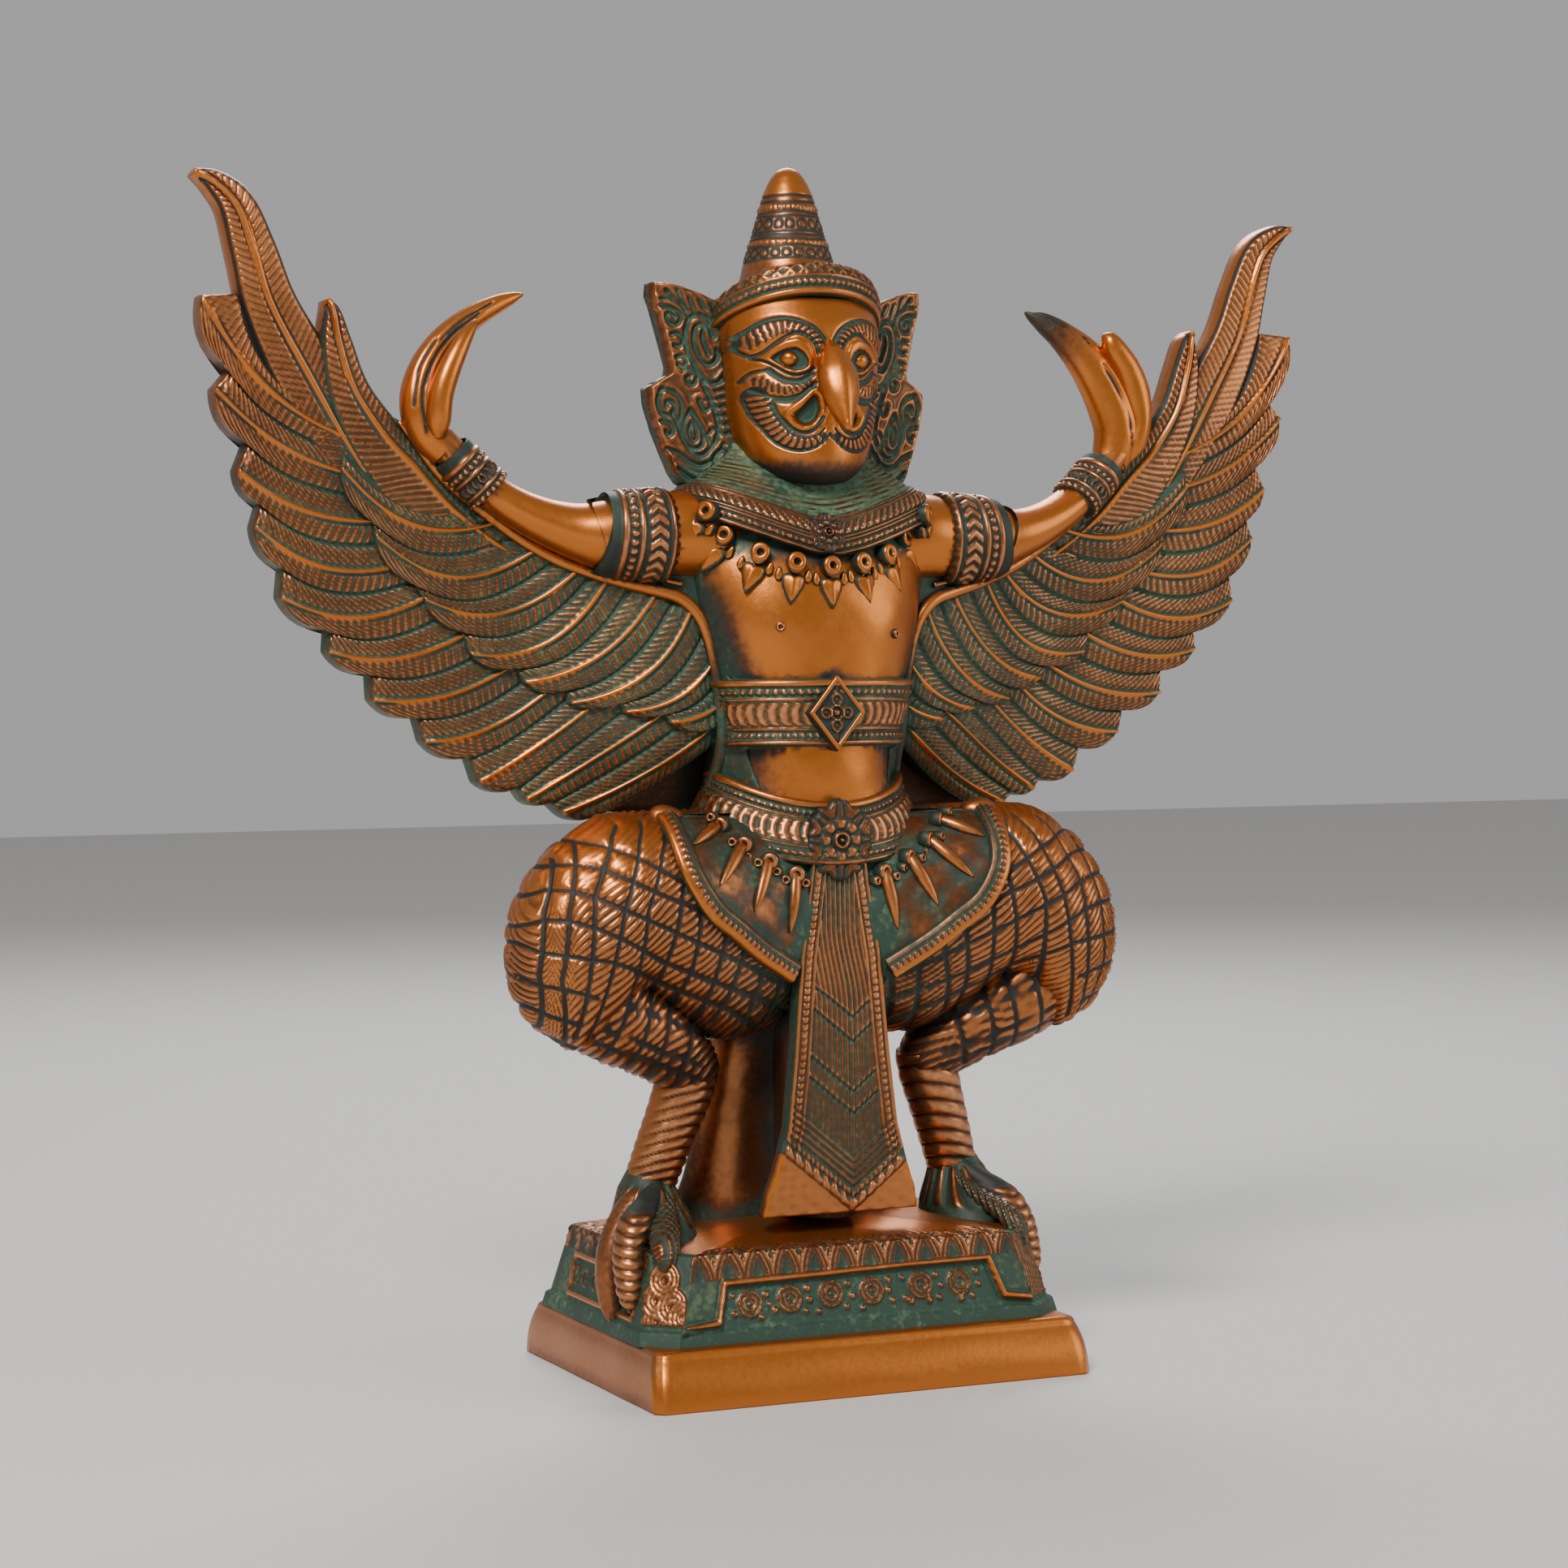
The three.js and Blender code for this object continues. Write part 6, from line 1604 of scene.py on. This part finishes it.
class Link:
    # One socket whose arithmetic adds Math nodes to the same material

    def __init__(self, tree, socket):
        self.tree, self.socket = tree, socket

    def math(self, operation, *others):
        return self.tree.node("ShaderNodeMath", {"operation": operation}, dict(enumerate((self,) + others)))

    def __add__(self, other):
        return self.math("ADD", other)

    def __sub__(self, other):
        return self.math("SUBTRACT", other)

    def __mul__(self, other):
        return self.math("MULTIPLY", other)

    __radd__, __rmul__ = __add__, __mul__

    def __rsub__(self, other):
        return (self * -1) + other

    def step(self, low, high):
        # 0 below low, 1 above high and smooth between
        return self.tree.node("ShaderNodeMapRange", {"interpolation_type": "SMOOTHSTEP"},
                              {"Value": self, "From Min": low, "From Max": high}, "Result")


class Metal:
    # A material's node tree, filled by one method

    def __init__(self, name):
        self.material = bpy.data.materials.new(name)
        self.material.use_nodes = True
        self.tree = self.material.node_tree
        self.shader = self.tree.nodes["Principled BSDF"]

    def node(self, kind, settings, inputs, output=0):
        made = self.tree.nodes.new(kind)
        for key, value in settings.items():
            setattr(made, key, value)
        for key, value in inputs.items():
            if isinstance(value, Link):
                self.tree.links.new(value.socket, made.inputs[key])
            else:
                made.inputs[key].default_value = value
        return Link(self, made.outputs[output])

    def mix(self, share, low, high):
        low, high = (value if isinstance(value, Link) else (*value, 1) for value in (low, high))
        return self.node("ShaderNodeMix", {"data_type": "RGBA"}, {0: share, 6: low, 7: high}, 2)

    def layer(self, name):
        return self.node("ShaderNodeAttribute", {"attribute_name": name}, {}, "Fac")

    def finish(self, **sockets):
        for name, value in sockets.items():
            socket = self.shader.inputs[name.replace("_", " ")]
            if isinstance(value, Link):
                self.tree.links.new(value.socket, socket)
            else:
                socket.default_value = value


# Colours of the cast metal; the bright one is a painted highlight
metalColors = {
    "copper": (0.54, 0.165, 0.03),
    "worn": (0.43, 0.17, 0.066),
    "paintedHighlight": (0.8, 0.37, 0.19),
    "brown": (0.12, 0.038, 0.014),
    "dark": (0.011, 0.009, 0.007),
    "verdigris": (0.018, 0.05, 0.03),
    "paleVerdigrisAndSheen": (0.1, 0.185, 0.095),
}


def castMetal():
    # Height over the surroundings picks the colour: pits are dark or green, flats brown,
    # ridges and rubbed places copper, and the highest edges a painted highlight
    metal = Metal("castMetal")
    place = metal.node("ShaderNodeTexCoord", {}, {}, "Object")
    cloud = metal.node("ShaderNodeTexNoise", {}, {"Vector": place, "Scale": 38, "Detail": 5}, "Fac")
    speck = metal.node("ShaderNodeTexNoise", {}, {"Vector": place, "Scale": 420, "Detail": 4}, "Fac")
    grain = metal.node("ShaderNodeTexNoise", {}, {"Vector": place, "Scale": 1800, "Detail": 2}, "Fac")
    tone, polish, green, hollow = (metal.layer(name) for name in ("tone", "polish", "green", "hollow"))
    # hollow lowers the height where other surface crowds in front: painted shade, dark or verdigris by the
    # green layer
    height = tone - hollow * 1.1 + (cloud - 0.5) * 0.45 + (speck - 0.5) * 0.5
    copperShare = (height + polish * 1.25 - 0.62).step(-0.35, 0.5)
    pit = (0.18 - height - polish * 0.35).step(-0.1, 0.55)
    greenShare = (green + (cloud - 0.5) * 1.0 + (speck - 0.5) * 0.5).step(0.3, 0.95)
    # the pale share of the verdigris is partly chalky patina and partly painted sheen: more of it on higher
    # places and where green runs over 1
    chalkAndSheen = (speck + (cloud - 0.5) * 0.8 + green * 0.35 + height * 0.3).step(0.65, 1.15)
    verdigris = metal.mix(chalkAndSheen, metalColors["verdigris"], metalColors["paleVerdigrisAndSheen"])
    pitColor = metal.mix(greenShare, metalColors["dark"], verdigris)
    ridge = metal.mix(polish.step(0.35, 0.85), metalColors["worn"], metalColors["copper"])
    body = metal.mix(copperShare, metalColors["brown"], ridge)
    # painted highlight: the highest edges, with some noise, turn a pale pinkish copper
    body = metal.mix((height + (speck - 0.5) * 0.6).step(0.55, 1.15) * 0.55, body, metalColors["paintedHighlight"])
    color = metal.mix(pit, body, pitColor)
    bump = metal.node("ShaderNodeBump", {}, {"Strength": 0.22, "Distance": 0.0004,
                                             "Height": speck * 0.7 + grain * 0.3}, "Normal")
    metal.finish(Base_Color=color, Metallic=0.9 - pit * 0.8,
                 Roughness=0.36 + pit * 0.24 + (speck - 0.5) * 0.18 - copperShare * 0.04, Normal=bump)
    return metal.material


def hollows(voxel=2.5, reach=5.0):
    # How much other surface stands in front of each point: the surface's area is spread on a
    # grid of cubes, blurred, and read a little way out along each point's normal
    # The result is painted shade, partly verdigris: in recesses and between parts the metal turns dark, or
    # green where the green layer is high.
    points = np.vstack([piece["points"] for piece in cast.values()]) / mm
    weights = np.concatenate([piece["weight"] for piece in cast.values()]) / mm ** 2
    low = points.min(0) - 20
    size = ((points.max(0) + 20 - low) / voxel).astype(int) + 1
    cell = ((points - low) / voxel).astype(int)
    flat = np.ravel_multi_index(cell.T, size)
    field = np.bincount(flat, weights, np.prod(size)).reshape(size)
    for axis in (0, 1, 2, 0, 1, 2):
        total = np.cumsum(field, axis)
        field = (np.roll(total, -1, axis) - np.roll(total, 2, axis)) / 3
        field = np.maximum(field, 0)
    for piece in cast.values():
        mesh = piece["object"].data
        normal = np.empty(len(mesh.vertices) * 3, np.float32)
        mesh.vertices.foreach_get("normal", normal)
        spot = piece["points"] / mm + normal.reshape(-1, 3) * reach
        cell = np.clip(((spot - low) / voxel).astype(int), 0, size - 1)
        value = field[tuple(cell.T)] / voxel ** 2
        hollow = np.clip((value - 0.12) / 0.9, 0, 1).astype(np.float32)
        mesh.attributes.new("hollow", "FLOAT", "POINT").data.foreach_set("value", hollow)


hollows()
finish = castMetal()
for name, piece in cast.items():
    piece["object"].data.materials.append(finish)
    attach(piece["object"], "root")
    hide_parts("garuda_figure")
print("metal done")

# Room: pale floor, soft light, and the camera at the photograph's angle

camera = {
    "azimuth": -23.69, "elevation": 1.17, "roll": -0.62,
    "distance": 1.322, "target": (0, -0.002, 0.224),
    "lens": 79.45, "sensor": 36, "shift": (-0.0088, -0.0036),
}


def stage():
    # Pale floor, a square far wider than the figure
    floorMesh = bpy.data.meshes.new("floor")
    half = 6
    floorMesh.from_pydata([(-half, -half, 0), (half, -half, 0), (half, half, 0), (-half, half, 0)],
                          [], [(0, 1, 2, 3)])
    floor = bpy.data.objects.new("floor", floorMesh)
    bpy.context.scene.collection.objects.link(floor)
    pale = Metal("paleFloor")
    pale.finish(Base_Color=(0.62, 0.61, 0.6, 1), Roughness=0.8)
    floorMesh.materials.append(pale.material)


def softLight(name, place, size, power, color=(1, 1, 1)):
    # Round lamp that looks at the figure's middle
    light = bpy.data.lights.new(name, "AREA")
    light.shape, light.size, light.energy, light.color = "DISK", size, power, color
    lamp = bpy.data.objects.new(name, light)
    lamp.location = place
    lamp.rotation_euler = (Vector((0, 0, 0.22)) - Vector(place)).to_track_quat("-Z", "Y").to_euler()
    bpy.context.scene.collection.objects.link(lamp)


def shoot():
    # Camera on a sphere about its target: back points from the target to it, and right and up
    # are turned about that by the roll
    az, el, roll = (np.radians(camera[key]) for key in ("azimuth", "elevation", "roll"))
    back = Vector((np.sin(az) * np.cos(el), -np.cos(az) * np.cos(el), np.sin(el)))
    right = (-back).cross(Vector((0, 0, 1))).normalized()
    up = right.cross(-back)
    rolledRight = np.cos(roll) * right + np.sin(roll) * up
    rolledUp = -np.sin(roll) * right + np.cos(roll) * up
    data = bpy.data.cameras.new("camera")
    data.lens, data.sensor_width = camera["lens"], camera["sensor"]
    data.shift_x, data.shift_y = camera["shift"]
    eye = bpy.data.objects.new("camera", data)
    turn = Matrix((rolledRight, rolledUp, back)).transposed().to_4x4()
    eye.matrix_world = Matrix.Translation(Vector(camera["target"]) + back * camera["distance"]) @ turn
    bpy.context.scene.collection.objects.link(eye)
    bpy.context.scene.camera = eye


stage()
softLight("keyLight", (-1.3, -1.4, 1.9), 0.9, 66, (1, 0.97, 0.94))
softLight("fillLight", (1.6, -1.2, 0.8), 1.4, 12, (0.95, 0.98, 1))
softLight("rimLight", (0.6, 1.5, 1.6), 1.0, 26)
world = bpy.data.worlds.new("room")
bpy.context.scene.world = world
world.use_nodes = True
world.node_tree.nodes["Background"].inputs["Color"].default_value = (0.5, 0.5, 0.5, 1)
world.node_tree.nodes["Background"].inputs["Strength"].default_value = 0.8
shoot()
